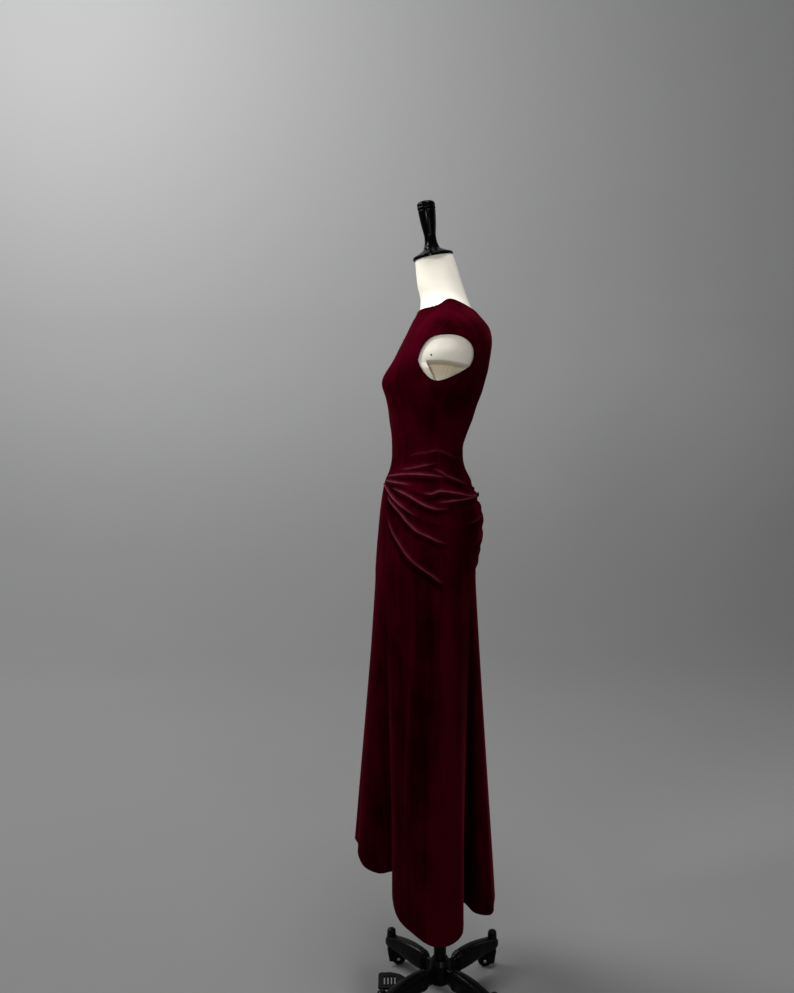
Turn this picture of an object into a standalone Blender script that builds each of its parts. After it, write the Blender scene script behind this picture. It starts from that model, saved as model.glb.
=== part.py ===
"""A long velvet bustle dress on a dress form with a four-legged caster stand.

Metres, +Z up. The dress faces -Y, so its wearer's left is +X. Angles around the body are
measured from the centre front, 0 at the front, 90 at the left side seam, 180 at the centre back.
"""

import math

import bmesh
import bpy
import numpy as np
from mathutils import Matrix, Vector

MM = 0.001

# Cloth
CLOTH = 1.8 * MM
SEAM = 0.3 * MM
QUARTER_COLUMNS = 13
SQUARENESS = 2.2

# Outer outline of the dressed body, one row for each level:
# height, half width, front, back, and where the widest point lies in Y.
SECTIONS = (
    (1.885, 0.0480, -0.0650, 0.0345, -0.0155),
    (1.850, 0.0500, -0.0625, 0.0470, -0.0070),
    (1.815, 0.0545, -0.0590, 0.0595, 0.0020),
    (1.790, 0.0610, -0.0535, 0.0700, 0.0120),
    (1.778, 0.0690, -0.0520, 0.0745, 0.0170),
    (1.766, 0.0860, -0.0525, 0.0800, 0.0200),
    (1.754, 0.1080, -0.0540, 0.0875, 0.0210),
    (1.742, 0.1310, -0.0585, 0.0966, 0.0210),
    (1.728, 0.1540, -0.0665, 0.1087, 0.0210),
    (1.714, 0.1720, -0.0735, 0.1185, 0.0200),
    (1.700, 0.1830, -0.0800, 0.1232, 0.0190),
    (1.682, 0.1895, -0.0896, 0.1254, 0.0180),
    (1.660, 0.1905, -0.1005, 0.1236, 0.0160),
    (1.640, 0.1870, -0.1085, 0.1205, 0.0130),
    (1.615, 0.1735, -0.1160, 0.1165, 0.0060),
    (1.590, 0.1570, -0.1195, 0.1100, 0.0000),
    (1.560, 0.1490, -0.1205, 0.1015, -0.0020),
    (1.530, 0.1410, -0.1250, 0.0900, -0.0030),
    (1.495, 0.1310, -0.1235, 0.0790, -0.0030),
    (1.460, 0.1210, -0.1188, 0.0655, -0.0020),
    (1.425, 0.1155, -0.1175, 0.0560, 0.0000),
    (1.395, 0.1175, -0.1185, 0.0570, 0.0000),
    (1.370, 0.1255, -0.1245, 0.0640, 0.0000),
    (1.345, 0.1360, -0.1350, 0.0735, 0.0000),
    (1.310, 0.1495, -0.1420, 0.0860, 0.0000),
    (1.270, 0.1600, -0.1475, 0.0985, 0.0000),
    (1.230, 0.1670, -0.1515, 0.1015, 0.0000),
    (1.180, 0.1720, -0.1560, 0.0965, 0.0000),
    (1.130, 0.1755, -0.1595, 0.0880, 0.0000),
)
HIP_HEIGHT = SECTIONS[-1][0]

# Bust: how far it lifts the front, its half spacing, spread and height
BUST_LIFT, BUST_X, BUST_SPREAD, BUST_HEIGHT, BUST_RISE = 0.022, 0.068, 0.052, 1.580, 0.045

# Crests and valleys of the hem: angle, radius from the pole, height above the floor.
HEM_FOLDS = (
    (-180, 0.138, 0.252),
    (-158, 0.150, 0.258),
    (-127, 0.114, 0.302),
    (-90, 0.2966, 0.316),
    (-42, 0.144, 0.372),
    (-14, 0.226, 0.398),
    (-2, 0.199, 0.408),
    (9, 0.211, 0.392),
    (40, 0.146, 0.374),
    (62, 0.214, 0.331),
    (88, 0.298, 0.314),
    (124, 0.110, 0.300),
    (157, 0.152, 0.256),
    (180, 0.138, 0.252),
)

# Swagged folds over the hip, from the waist seam down: heights at the first stations around the
# body, then how far each stands out (mm) at the second ones, then how many rows lie below it.
HEIGHT_STATIONS, LIFT_STATIONS = (0, 45, 90, 120, 180), (0, 40, 80, 90, 120, 180)
CREASES = (
    (1.3580, 1.3880, 1.4240, 1.3980, 1.3680, 0, 0, 0, 0, 0, 0, 2),
    (1.3545, 1.3755, 1.3860, 1.3500, 1.3300, 0, 4, 4, 4, 6, 3, 1),
    (1.3515, 1.3645, 1.3630, 1.3360, 1.3205, 0, 7, 6, 5, 2, 2, 1),
    (1.3480, 1.3440, 1.3260, 1.3180, 1.3115, 0, 5, 8, 8, 7, 5, 1),
    (1.3455, 1.3385, 1.3045, 1.3100, 1.3040, 0, 2, 4, 5, 3, 4, 1),
    (1.3430, 1.3310, 1.2905, 1.2915, 1.2850, 0, 6, 8, 6, 3, 4, 1),
    (1.3390, 1.2985, 1.2560, 1.2600, 1.2490, 0, 7, 5, 1, 1, 5, 1),
    (1.3310, 1.2830, 1.2140, 1.2200, 1.2110, 0, 6, 7, 1.5, 1, 5, 2),
    (1.3150, 1.2150, 1.1265, 1.1700, 1.1730, 0, 4, 7, 1.5, 0, 4, 2),
    (1.2900, 1.1500, 1.0700, 1.1150, 1.1300, 0, 0, 0, 0, 0, 0, 6),
)

# Neckline height by angle
NECKLINE = ((0, 1.744), (30, 1.749), (60, 1.757), (90, 1.779), (120, 1.768), (150, 1.751), (180, 1.743))

# Armhole: underarm point, top edge under the cap, and its half widths as angles
UNDERARM, CAP_EDGE = 1.586, 1.688
ARMHOLE_FRONT, ARMHOLE_BACK = 21.0, 23.0
LOWER_ROWS, ARMHOLE_ROWS, YOKE_ROWS = 6, 10, 5

# Front gore of the skirt: half angle at the waist and at the hem
GORE_COLUMNS = 6
GORE_TOP, GORE_HEM = 90 / QUARTER_COLUMNS, 27.0

# Dress form inside the cloth
FORM_GAP = 3.4 * MM
FORM_BOTTOM, NECK_TOP = 1.190, 1.8816
NECK_LEAN, HANDLE_LEAN = math.radians(10.5), math.radians(6.5)
NECK_CENTRE_Y = -0.0160
FORM_COLUMNS = 36
FORM_LEVELS = (
    1.190, 1.25, 1.31, 1.36, 1.395, 1.425, 1.46, 1.51, 1.55, 1.58, 1.603, 1.6245, 1.6285,
    1.66, 1.682, 1.70, 1.714, 1.728, 1.742, 1.754, 1.766, 1.778, 1.79, 1.815, 1.85, 1.8816,
)
# The stub of each arm is cut off level here, over a hollow that runs out to a point below it.
STUB_CUT, HOLLOW_END, HOLLOW_DEPTH, HOLLOW_SPREAD = 1.6270, 1.560, 0.022, 24.0

# Neck plate and handle, as turned profiles of radius and height along the leaning neck
PLATE_PROFILE = ((0.0484, 0.0), (0.0484, 0.0050), (0.0400, 0.0078), (0.0265, 0.0115), (0.0190, 0.0160))
PLATE_TOP = 0.0160
HANDLE_PROFILE = (
    (0.0165, 0.0), (0.0150, 0.0060), (0.0112, 0.0140), (0.0118, 0.0300), (0.0160, 0.0600), (0.0186, 0.0860),
    (0.0190, 0.0930), (0.0176, 0.0955), (0.0196, 0.0985), (0.0202, 0.1050), (0.0190, 0.1110), (0.0130, 0.1150),
)
HANDLE_TOP = 0.1168

# Pole and tube
POLE_RADIUS, TUBE_BORE, TUBE_RADIUS = 0.0125, 0.0129, 0.0160
POLE_BOTTOM, TUBE_TOP = 0.400, 0.800
COLLAR_RADIUS, COLLAR_HEIGHT = 0.030, 0.034

# Base
HUB_RADIUS, HUB_BOTTOM, HUB_TOP = 0.027, 0.042, 0.106
LEG_TURN = math.radians(-2.0)
LEG_REACH, LEG_THICK = 0.195, 0.016
LEG_OUTLINE = (
    (0.0275, 0.046), (0.0275, 0.095), (0.070, 0.0865), (0.120, 0.0775), (0.160, 0.074), (0.182, 0.078),
    (0.190, 0.064), (0.182, 0.053), (0.154, 0.0505), (0.138, 0.042), (0.085, 0.0415),
)
SOCKET_BOTTOM = 0.0495
SOCKET_PROFILE = ((0.0, 0.1005), (0.0050, 0.0995), (0.0090, 0.0960), (0.0115, 0.0900), (0.0115, SOCKET_BOTTOM),
                  (0.0, SOCKET_BOTTOM))

# Casters
WHEEL_RADIUS, WHEEL_WIDTH, WHEEL_SIDES = 0.019, 0.0150, 18
AXLE_RADIUS, AXLE_REACH = 0.0030, 0.0125
TRAIL = 0.020
FORK_HALF_WIDTH, FORK_WALL, FORK_GAP = 0.0118, 0.0032, 0.4 * MM
FORK_TOP = SOCKET_BOTTOM - FORK_GAP
FORK_ROOF, FORK_FOOT = 0.0405, 0.0125

# Foot pedal
PEDAL_HEIGHT, PEDAL_THICK, PEDAL_TURN = 0.046, 0.006, math.radians(3.0)
PEDAL_OUTLINE = (
    (0.0075, -0.0278), (0.0075, -0.0880), (0.0240, -0.1050), (0.0330, -0.1280), (0.0330, -0.1540),
    (0.0270, -0.1600),
)
SLOT_COUNT, SLOT_PITCH, SLOT_WIDTH, SLOT_LENGTH, SLOT_START = 4, 0.0090, 0.0032, 0.036, -0.1170

# Covered button and its loop at the top of the bustle
BUTTON_RADIUS, BUTTON_THICK = 0.0062, 0.0052

# The middle of the whole outline lies under the origin, so the pole stands this far behind it.
POLE_SHIFT = 0.0296

WINE = (0.085, 0.004, 0.016)
IVORY = (0.80, 0.77, 0.68)
BLACK = (0.012, 0.012, 0.013)
RUBBER = (0.02, 0.02, 0.02)
STEEL = (0.45, 0.45, 0.46)


def smooth(x, xs, ys):
    """Cubic curve through the points (xs, ys), with the slope at each point held to its neighbours'."""
    xs, ys = np.asarray(xs, float), np.asarray(ys, float)
    if xs[0] > xs[-1]:
        xs, ys = xs[::-1], ys[::-1]
    steps = np.diff(ys) / np.diff(xs)
    slopes = np.concatenate([[steps[0]], (steps[:-1] + steps[1:]) / 2, [steps[-1]]])
    flat = np.concatenate([[False], steps[:-1] * steps[1:] <= 0, [False]])
    slopes = np.where(flat, 0.0, slopes)
    x = np.clip(x, xs[0], xs[-1])
    i = np.clip(np.searchsorted(xs, x, side="right") - 1, 0, len(xs) - 2)
    width = xs[i + 1] - xs[i]
    t = (x - xs[i]) / width
    return (
        ys[i] * (1 + 2 * t) * (1 - t) ** 2
        + slopes[i] * width * t * (1 - t) ** 2
        + ys[i + 1] * t**2 * (3 - 2 * t)
        + slopes[i + 1] * width * t**2 * (t - 1)
    )


def eased(angle, table, column):
    """Value by angle from a table of crests and valleys, joined by half cosine waves."""
    angles = np.array([row[0] for row in table], float)
    values = np.array([row[column] for row in table], float)
    a = np.clip(angle, angles[0], angles[-1])
    i = np.clip(np.searchsorted(angles, a, side="right") - 1, 0, len(angles) - 2)
    t = (a - angles[i]) / (angles[i + 1] - angles[i])
    return values[i] + (values[i + 1] - values[i]) * (1 - np.cos(math.pi * t)) / 2


def body_outline(angle, height):
    """Points on the outer face of a close-fitting dress, by angle (degrees) and height."""
    levels = [row[0] for row in SECTIONS]
    width, front, back, middle = (
        smooth(height, levels, [row[c] for row in SECTIONS]) for c in (1, 2, 3, 4)
    )
    a = np.radians(angle)
    depth = np.where(np.cos(a) > 0, middle - front, back - middle)
    power = SQUARENESS
    reach = (np.abs(np.sin(a) / width) ** power + np.abs(np.cos(a) / depth) ** power) ** (-1 / power)
    x = reach * np.sin(a)
    y = middle - reach * np.cos(a)
    across = np.exp(-(((np.abs(x) - BUST_X) / BUST_SPREAD) ** 2))
    upright = np.exp(-(((height - BUST_HEIGHT) / BUST_RISE) ** 2))
    y = y - BUST_LIFT * across * upright * np.sqrt(np.clip(np.cos(a), 0, 1))
    return np.stack([x, y, height + 0 * x], axis=-1)


def skirt_outline(angle, height):
    """As body_outline above the hip. Below it, straight lines run from the hip to the folds of the hem."""
    hip_level = HIP_HEIGHT + 0 * np.asarray(angle, float)
    hip = body_outline(angle, np.maximum(height, hip_level))
    a = np.radians(angle)
    radius = eased(angle, HEM_FOLDS, 1)
    drop = (HIP_HEIGHT - height) / (HIP_HEIGHT - eased(angle, HEM_FOLDS, 2))
    fall = np.clip(drop, 0, 1)[..., None]
    hem = np.stack([radius * np.sin(a), -radius * np.cos(a), height + 0 * a], axis=-1)
    points = hip * (1 - fall) + hem * fall
    points[..., 2] = height
    return points


def outward(outline, angle, height):
    """Unit normals of an outline function, from small steps along both of its directions."""
    turn, rise = 0.5, 1.0 * MM
    around = outline(angle + turn, height) - outline(angle - turn, height)
    up = outline(angle, height + rise) - outline(angle, height - rise)
    normal = np.cross(around, up)
    return normal / np.linalg.norm(normal, axis=-1, keepdims=True)


def material(name, colour, roughness, metallic=0.0):
    made = bpy.data.materials.new(name)
    made.use_nodes = True
    shader = made.node_tree.nodes["Principled BSDF"]
    shader.inputs["Base Color"].default_value = (*colour, 1.0)
    shader.inputs["Roughness"].default_value = roughness
    shader.inputs["Metallic"].default_value = metallic
    return made


def add_object(name, mesh, finish, smooth_angle=40):
    """Puts a mesh in the dress's collection, under the pole's empty."""
    obj = bpy.data.objects.new(name, mesh)
    bpy.data.collections["bustle_dress"].objects.link(obj)
    mesh.materials.clear()
    mesh.materials.append(finish)
    mesh.shade_smooth()
    mesh.set_sharp_from_angle(angle=math.radians(smooth_angle))
    obj.parent = bpy.data.objects["pole_axis"]
    return obj


def grid_mesh(name, points, wrap=False):
    """A quad mesh from points[row, column]. Rows run upwards and columns counter-clockwise from above."""
    rows, columns = points.shape[:2]
    mesh = bpy.data.meshes.new(name)
    last = columns if wrap else columns - 1
    faces = []
    for low in range(0, (rows - 1) * columns, columns):
        high = low + columns
        for a, b in ((c, (c + 1) % columns) for c in range(last)):
            faces.append((low + a, low + b, high + b, high + a))
    mesh.from_pydata([tuple(p) for p in points.reshape(-1, 3)], [], faces)
    return mesh


def cloth(name, rows, finish):
    """A cloth panel from rows of points and normals: the face that shows, the inner face and the rim."""
    outer = np.array([points for points, _ in rows])
    inner = outer - np.array([normals for _, normals in rows]) * CLOTH
    count, columns = outer.shape[:2]
    size = count * columns
    faces = []
    for a in (r * columns + c for r in range(count - 1) for c in range(columns - 1)):
        b, d = a + columns + 1, a + columns
        faces += [(a, a + 1, b), (a, b, d)]
        faces += [(a + size, b + size, a + 1 + size), (a + size, d + size, b + size)]
    bottom = list(range(columns))
    right = [r * columns + columns - 1 for r in range(count)]
    top = [i + size - columns for i in bottom]
    left = [r * columns for r in range(count)]
    for edge in (bottom, right):
        for a, b in zip(edge, edge[1:]):
            faces += [(b, a, b + size), (a, a + size, b + size)]
    for edge in (top, left):
        for a, b in zip(edge, edge[1:]):
            faces += [(a, b, b + size), (a, b + size, a + size)]
    mesh = bpy.data.meshes.new(name)
    points = np.concatenate([outer.reshape(-1, 3), inner.reshape(-1, 3)])
    mesh.from_pydata([tuple(point) for point in points], [], faces)
    return add_object(name, mesh, finish)


def spun(mesh_name, profile, closed):
    """Mesh of a profile of (radius, height) pairs, ready to be turned about Z."""
    mesh = bpy.data.meshes.new(mesh_name)
    edges = [(i, i + 1) for i in range(len(profile) - 1)]
    if closed:
        edges.append((len(profile) - 1, 0))
    mesh.from_pydata([(radius, 0, height) for radius, height in profile], edges, [])
    return mesh


def spin(obj, sides):
    step = obj.modifiers.new("turn", "SCREW")
    step.steps = step.render_steps = sides
    step.use_merge_vertices = True
    step.merge_threshold = 0.01 * MM


def turned(name, profile, top, finish, sides=32):
    """A solid of revolution from (radius, height) pairs, lowest first, closed at the bottom and the top."""
    outline = [(0.0, top), *reversed(profile), (0.0, profile[0][1])]
    obj = add_object(name, spun(name, outline, closed=False), finish)
    spin(obj, sides)
    return obj


def ring(name, bore, radius, bottom, top, bevel, finish, sides):
    """A turned ring with a straight bore and bevelled outer edges."""
    outline = [(bore, top), (radius - bevel, top), (radius, top - bevel), (radius, bottom + bevel),
               (radius - bevel, bottom), (bore, bottom)]
    obj = add_object(name, spun(name, outline, closed=True), finish)
    spin(obj, sides)
    return obj


def crease_heights(index, angle):
    return smooth(np.abs(angle), HEIGHT_STATIONS, CREASES[index][:5])


def crease_lift(index, angle):
    return smooth(np.abs(angle), LIFT_STATIONS, CREASES[index][5:11]) * MM


def skirt_rows():
    """A (crease above, crease below, share of the way) for each row of the skirt from the waist down."""
    rows = [(i, i + 1, k / (row[-1] + 1)) for i, row in enumerate(CREASES[:-1]) for k in range(row[-1] + 1)]
    below = CREASES[-1][-1]
    last = len(CREASES) - 1
    return rows + [(last, None, k / below) for k in range(below + 1)]


def skirt_row_points(row, angle):
    """Points and normals of one row. Crests stand out and the rows between them lie on the hip."""
    upper, lower, share = row
    top = crease_heights(upper, angle)
    if lower is None:
        bottom = eased(angle, HEM_FOLDS, 2)
    else:
        bottom = crease_heights(lower, angle)
    height = top + (bottom - top) * share
    if share == 0 and upper == 0:
        height = height - SEAM / 2
    points, normals = skirt_outline(angle, height), outward(skirt_outline, angle, height)
    if share == 0:
        points = points + normals * crease_lift(upper, angle)[..., None]
    return points, normals


def gore_edge(row):
    """Half angle of the front gore at a row: it is narrow at the waist and spreads to the hem."""
    upper, lower, share = row
    return GORE_TOP + (GORE_HEM - GORE_TOP) * (share if lower is None else 0)


def between(first, last, columns, row, points_of):
    """A row of points and normals from one angle to another, drawn back at both ends by half a seam."""
    angle = np.linspace(first, last, columns + 1)
    for end, turn in ((0, 0.5), (-1, -0.5)):
        points, _ = points_of(row, angle[end] + np.array([0, turn]))
        angle[end] += turn * SEAM / 2 / np.linalg.norm((points[1] - points[0])[:2])
    return points_of(row, angle)


def build_skirt(velvet):
    rows = skirt_rows()[::-1]
    side_columns = QUARTER_COLUMNS - 1
    spans = {
        "skirt_front": (lambda e: -e, lambda e: e, GORE_COLUMNS),
        "skirt_side_left": (lambda e: e, lambda e: 90, side_columns),
        "skirt_back_left": (lambda e: 90, lambda e: 180, QUARTER_COLUMNS),
        "skirt_back_right": (lambda e: -180, lambda e: -90, QUARTER_COLUMNS),
        "skirt_side_right": (lambda e: -90, lambda e: -e, side_columns),
    }
    for name, (first, last, columns) in spans.items():
        edges = [(first(gore_edge(row)), last(gore_edge(row))) for row in rows]
        panel = [between(*edge, columns, row, skirt_row_points) for edge, row in zip(edges, rows)]
        cloth(name, panel, velvet)


def bodice_levels():
    """Shares of the way up for each row: below the underarm, beside the armhole, and over the yoke."""
    lower = [("lower", k / LOWER_ROWS) for k in range(LOWER_ROWS)]
    beside = [("armhole", (1 - math.cos(math.pi * k / ARMHOLE_ROWS)) / 2) for k in range(ARMHOLE_ROWS)]
    yoke = [("yoke", k / YOKE_ROWS) for k in range(YOKE_ROWS + 1)]
    return lower + beside + yoke


def bodice_height(level, angle):
    zone, share = level
    waist = crease_heights(0, angle) + SEAM / 2
    neck = smooth(np.abs(angle), [a for a, _ in NECKLINE], [h for _, h in NECKLINE])
    if zone == "lower":
        return waist + (UNDERARM - waist) * share
    if zone == "armhole":
        return UNDERARM + (CAP_EDGE - UNDERARM) * share + 0 * waist
    return CAP_EDGE + (neck - CAP_EDGE) * share


def armhole_spread(level):
    """Half width of the armhole at a level, as a share: a point under the arm, round under the cap."""
    zone, share = level
    if zone != "armhole":
        return 0.0
    if share < 0.5:
        return (2 * share) ** 0.58
    return (1 - (2 * share - 1) ** 2.2) ** (1 / 2.2)


def bodice_row_points(level, angle):
    height = bodice_height(level, angle)
    return body_outline(angle, height), outward(body_outline, angle, height)


def build_bodice(velvet):
    levels = bodice_levels()
    front, back = [], []
    for level in levels:
        edge = 90 - ARMHOLE_FRONT * armhole_spread(level)
        front.append(between(-edge, edge, 2 * QUARTER_COLUMNS, level, bodice_row_points))
        edge = 90 + ARMHOLE_BACK * armhole_spread(level)
        back.append(between(edge, 360 - edge, 2 * QUARTER_COLUMNS, level, around_the_back))
    cloth("bodice_front", front, velvet)
    cloth("bodice_back", back, velvet)


def around_the_back(level, angle):
    """As bodice_row_points, for angles that run on past 180 degrees."""
    return bodice_row_points(level, np.where(angle > 180, angle - 360, angle))


def build_form(linen):
    """The padded torso inside the dress and its bare neck, one closed solid."""
    angle = np.linspace(-180, 180, FORM_COLUMNS, endpoint=False)
    rings = []
    for level in FORM_LEVELS:
        height = level + 0 * angle
        under = np.clip((level - HOLLOW_END) / (STUB_CUT - HOLLOW_END), 0, 1) if level < STUB_CUT else 0.0
        hollow = HOLLOW_DEPTH * under * np.exp(-(((np.abs(angle) - 90) / HOLLOW_SPREAD) ** 4))
        skin = body_outline(angle, height) - outward(body_outline, angle, height) * (CLOTH + FORM_GAP)
        skin[:, 0] -= np.sign(skin[:, 0]) * hollow
        above = np.clip((level - SECTIONS[3][0]) / (NECK_TOP - SECTIONS[3][0]), 0, 1)
        skin[:, 2] = level + (skin[:, 2] - level) * (1 - above)
        skin[:, 2] += above * math.tan(NECK_LEAN) * (skin[:, 1] - NECK_CENTRE_Y)
        rings.append(skin)
    rings[0][:, 2] = FORM_BOTTOM
    mesh = grid_mesh("form_torso", np.array(rings), wrap=True)
    form = bmesh.new()
    form.from_mesh(mesh)
    bmesh.ops.holes_fill(form, edges=[e for e in form.edges if e.is_boundary])
    bmesh.ops.recalc_face_normals(form, faces=form.faces)
    form.to_mesh(mesh)
    form.free()
    add_object("form_torso", mesh, linen, smooth_angle=60)


def build_neck(black):
    lean = Matrix.Rotation(NECK_LEAN, 4, "X")
    seat = Vector((0, NECK_CENTRE_Y, NECK_TOP))
    up = lean @ Vector((0, 0, 1))
    plate = turned("neck_plate", PLATE_PROFILE, PLATE_TOP, black)
    plate.matrix_local = Matrix.Translation(seat + up * SEAM) @ lean
    handle = turned("neck_handle", HANDLE_PROFILE, HANDLE_TOP, black, sides=20)
    upright = Matrix.Rotation(HANDLE_LEAN, 4, "X")
    lift = HANDLE_PROFILE[0][0] * math.sin(NECK_LEAN - HANDLE_LEAN)
    handle.matrix_local = Matrix.Translation(seat + up * (PLATE_TOP + 2 * SEAM + lift)) @ upright


def build_pole(steel, black):
    top = FORM_BOTTOM - SEAM
    turned("pole_collar", ((COLLAR_RADIUS * 0.7, top - COLLAR_HEIGHT), (COLLAR_RADIUS, top - 0.008),
                           (COLLAR_RADIUS, top)), top, black, sides=24)
    pole_top = top - COLLAR_HEIGHT - SEAM
    turned("pole", ((POLE_RADIUS, POLE_BOTTOM), (POLE_RADIUS, pole_top)), pole_top, steel, sides=20)
    ring("tube", TUBE_BORE, TUBE_RADIUS, HUB_TOP + SEAM, TUBE_TOP, 0.001, black, sides=20)


def flat_outline(name, points, half_thickness, finish):
    """A flat piece from a closed outline in its own XY plane, centred on that plane."""
    curve = bpy.data.curves.new(name, "CURVE")
    curve.dimensions = "2D"
    curve.fill_mode = "BOTH"
    curve.extrude = half_thickness
    spline = curve.splines.new("POLY")
    spline.points.add(len(points) - 1)
    for point, (x, y) in zip(spline.points, points):
        point.co = (x, y, 0, 1)
    spline.use_cyclic_u = True
    shape = bpy.data.objects.new(name + "_outline", curve)
    bpy.context.scene.collection.objects.link(shape)
    bpy.context.view_layer.update()
    mesh = bpy.data.meshes.new_from_object(shape.evaluated_get(bpy.context.evaluated_depsgraph_get()))
    bpy.data.objects.remove(shape)
    welded = bmesh.new()
    welded.from_mesh(mesh)
    bmesh.ops.remove_doubles(welded, verts=welded.verts, dist=0.01 * MM)
    bmesh.ops.recalc_face_normals(welded, faces=welded.faces)
    welded.to_mesh(mesh)
    welded.free()
    return add_object(name, mesh, finish, smooth_angle=30)


def helper(name, mesh):
    """A cutter or a joining piece: it shapes another object and isn't part of the dress itself."""
    obj = bpy.data.objects.new(name, mesh)
    bpy.data.collections["helpers"].objects.link(obj)
    obj.hide_render = True
    obj.display_type = "WIRE"
    obj.parent = bpy.data.objects["pole_axis"]
    return obj


def helper_bar(name, profile, sides):
    """A helper turned about Z from (radius, height) pairs, highest first, closed on the axis."""
    obj = helper(name, spun(name, profile, closed=False))
    spin(obj, sides)
    return obj


def helper_box(name, low, high):
    mesh = bpy.data.meshes.new(name)
    shape = bmesh.new()
    middle, size = (Vector(low) + Vector(high)) / 2, Vector(high) - Vector(low)
    bmesh.ops.create_cube(shape, size=1, matrix=Matrix.Translation(middle) @ Matrix.Diagonal((*size, 1)))
    shape.to_mesh(mesh)
    shape.free()
    return helper(name, mesh)


def combine(obj, other, operation):
    step = obj.modifiers.new(operation.lower(), "BOOLEAN")
    step.operation = operation
    step.object = other
    step.solver = "EXACT"


def leg_angles():
    return {
        "front_left": LEG_TURN - math.pi / 4,
        "back_left": LEG_TURN + math.pi / 4,
        "back_right": LEG_TURN + 3 * math.pi / 4,
        "front_right": LEG_TURN - 3 * math.pi / 4,
    }


def build_base(black):
    chamfer = 0.002
    turned("base_hub", ((HUB_RADIUS - chamfer, HUB_BOTTOM), (HUB_RADIUS, HUB_BOTTOM + chamfer),
                        (HUB_RADIUS, HUB_TOP - 0.012), (TUBE_RADIUS + 0.005, HUB_TOP)), HUB_TOP, black)
    for corner, angle in leg_angles().items():
        leg = flat_outline("leg_" + corner, LEG_OUTLINE, LEG_THICK / 2, black)
        turn = Matrix.Rotation(angle, 4, "Z")
        leg.matrix_local = turn @ Matrix.Rotation(math.pi / 2, 4, "X")
        socket = helper_bar("socket_" + corner, SOCKET_PROFILE, sides=16)
        socket.matrix_local = turn @ Matrix.Translation((LEG_REACH, 0, 0))
        combine(leg, socket, "UNION")


def build_casters(black, rubber):
    for corner, angle in leg_angles().items():
        stem = Vector((math.cos(angle), math.sin(angle), 0)) * LEG_REACH
        inward = -1 if stem.y > 0 else 1
        axle = Vector((stem.x, stem.y + inward * TRAIL, WHEEL_RADIUS))
        build_fork(corner, stem, axle, black)
        build_wheel(corner, axle, rubber)


def build_fork(corner, stem, axle, black):
    """Caster fork: a sloping housing from the stem to the axle, hollowed for the wheel, with its axle pin."""
    near, far = sorted((0.0, axle.y - stem.y))
    outline = [(near - 0.011, FORK_TOP), (far + 0.011, FORK_TOP),
               (far + 0.005, FORK_FOOT), (near - 0.005, FORK_FOOT)]
    fork = flat_outline("fork_" + corner, outline, FORK_HALF_WIDTH, black)
    stand = Matrix(((0, 0, 1, 0), (1, 0, 0, 0), (0, 1, 0, 0), (0, 0, 0, 1)))
    fork.matrix_local = Matrix.Translation((stem.x, stem.y, 0)) @ stand
    inner = FORK_HALF_WIDTH - FORK_WALL
    hollow = helper_box("hollow_" + corner, (-inner, -0.05, -0.04), (inner, 0.05, FORK_ROOF - WHEEL_RADIUS))
    hollow.matrix_local = Matrix.Translation(axle)
    combine(fork, hollow, "DIFFERENCE")
    profile = ((0, AXLE_REACH), (AXLE_RADIUS, AXLE_REACH), (AXLE_RADIUS, -AXLE_REACH), (0, -AXLE_REACH))
    pin = helper_bar("axle_" + corner, profile, sides=12)
    pin.matrix_local = Matrix.Translation(axle) @ Matrix.Rotation(math.pi / 2, 4, "Y")
    combine(fork, pin, "UNION")


def build_wheel(corner, axle, rubber):
    """Caster wheel with a flat facet of its tread on the floor and a bore that turns on the axle."""
    rim, bore = WHEEL_RADIUS / math.cos(math.pi / WHEEL_SIDES), AXLE_RADIUS + 0.3 * MM
    half = WHEEL_WIDTH / 2
    wheel = ring("wheel_" + corner, bore, rim, -half, half, 0.003, rubber, WHEEL_SIDES)
    half_side = Matrix.Rotation(math.pi / WHEEL_SIDES, 4, "Z")
    wheel.matrix_local = Matrix.Translation(axle) @ Matrix.Rotation(math.pi / 2, 4, "Y") @ half_side


def build_pedal(black):
    """Foot pedal: a lever from the hub that widens to a slotted plate."""
    half = list(PEDAL_OUTLINE)
    outline = half + [(-x, y) for x, y in reversed(half)]
    pedal = flat_outline("pedal", outline, PEDAL_THICK / 2, black)
    turn = Matrix.Rotation(PEDAL_TURN, 4, "Z")
    pedal.matrix_local = turn @ Matrix.Translation((0, 0, PEDAL_HEIGHT))
    for slot in range(SLOT_COUNT):
        y = SLOT_START - slot * SLOT_PITCH
        cutter = helper_box(f"slot_{slot}", (-SLOT_LENGTH / 2, y - SLOT_WIDTH / 2, 0),
                            (SLOT_LENGTH / 2, y + SLOT_WIDTH / 2, 2 * PEDAL_HEIGHT))
        cutter.matrix_local = turn
        combine(pedal, cutter, "DIFFERENCE")


def build_button(velvet):
    """Velvet-covered button on the centre back, where the bustle's gathers start."""
    height = CREASES[3][4]
    at = np.array([180.0])
    seat = skirt_outline(at, np.array([height]))[0]
    stand_out = crease_lift(3, at)[0]
    profile = ((BUTTON_RADIUS * 0.6, 0.0), (BUTTON_RADIUS, 0.0014), (BUTTON_RADIUS, 0.0030),
               (BUTTON_RADIUS * 0.7, 0.0046))
    button = turned("bustle_button", profile, BUTTON_THICK, velvet, sides=16)
    place = Vector((0, seat[1] + stand_out + 2 * SEAM, height))
    button.matrix_local = Matrix.Translation(place) @ Matrix.Rotation(-math.pi / 2, 4, "X")


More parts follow.
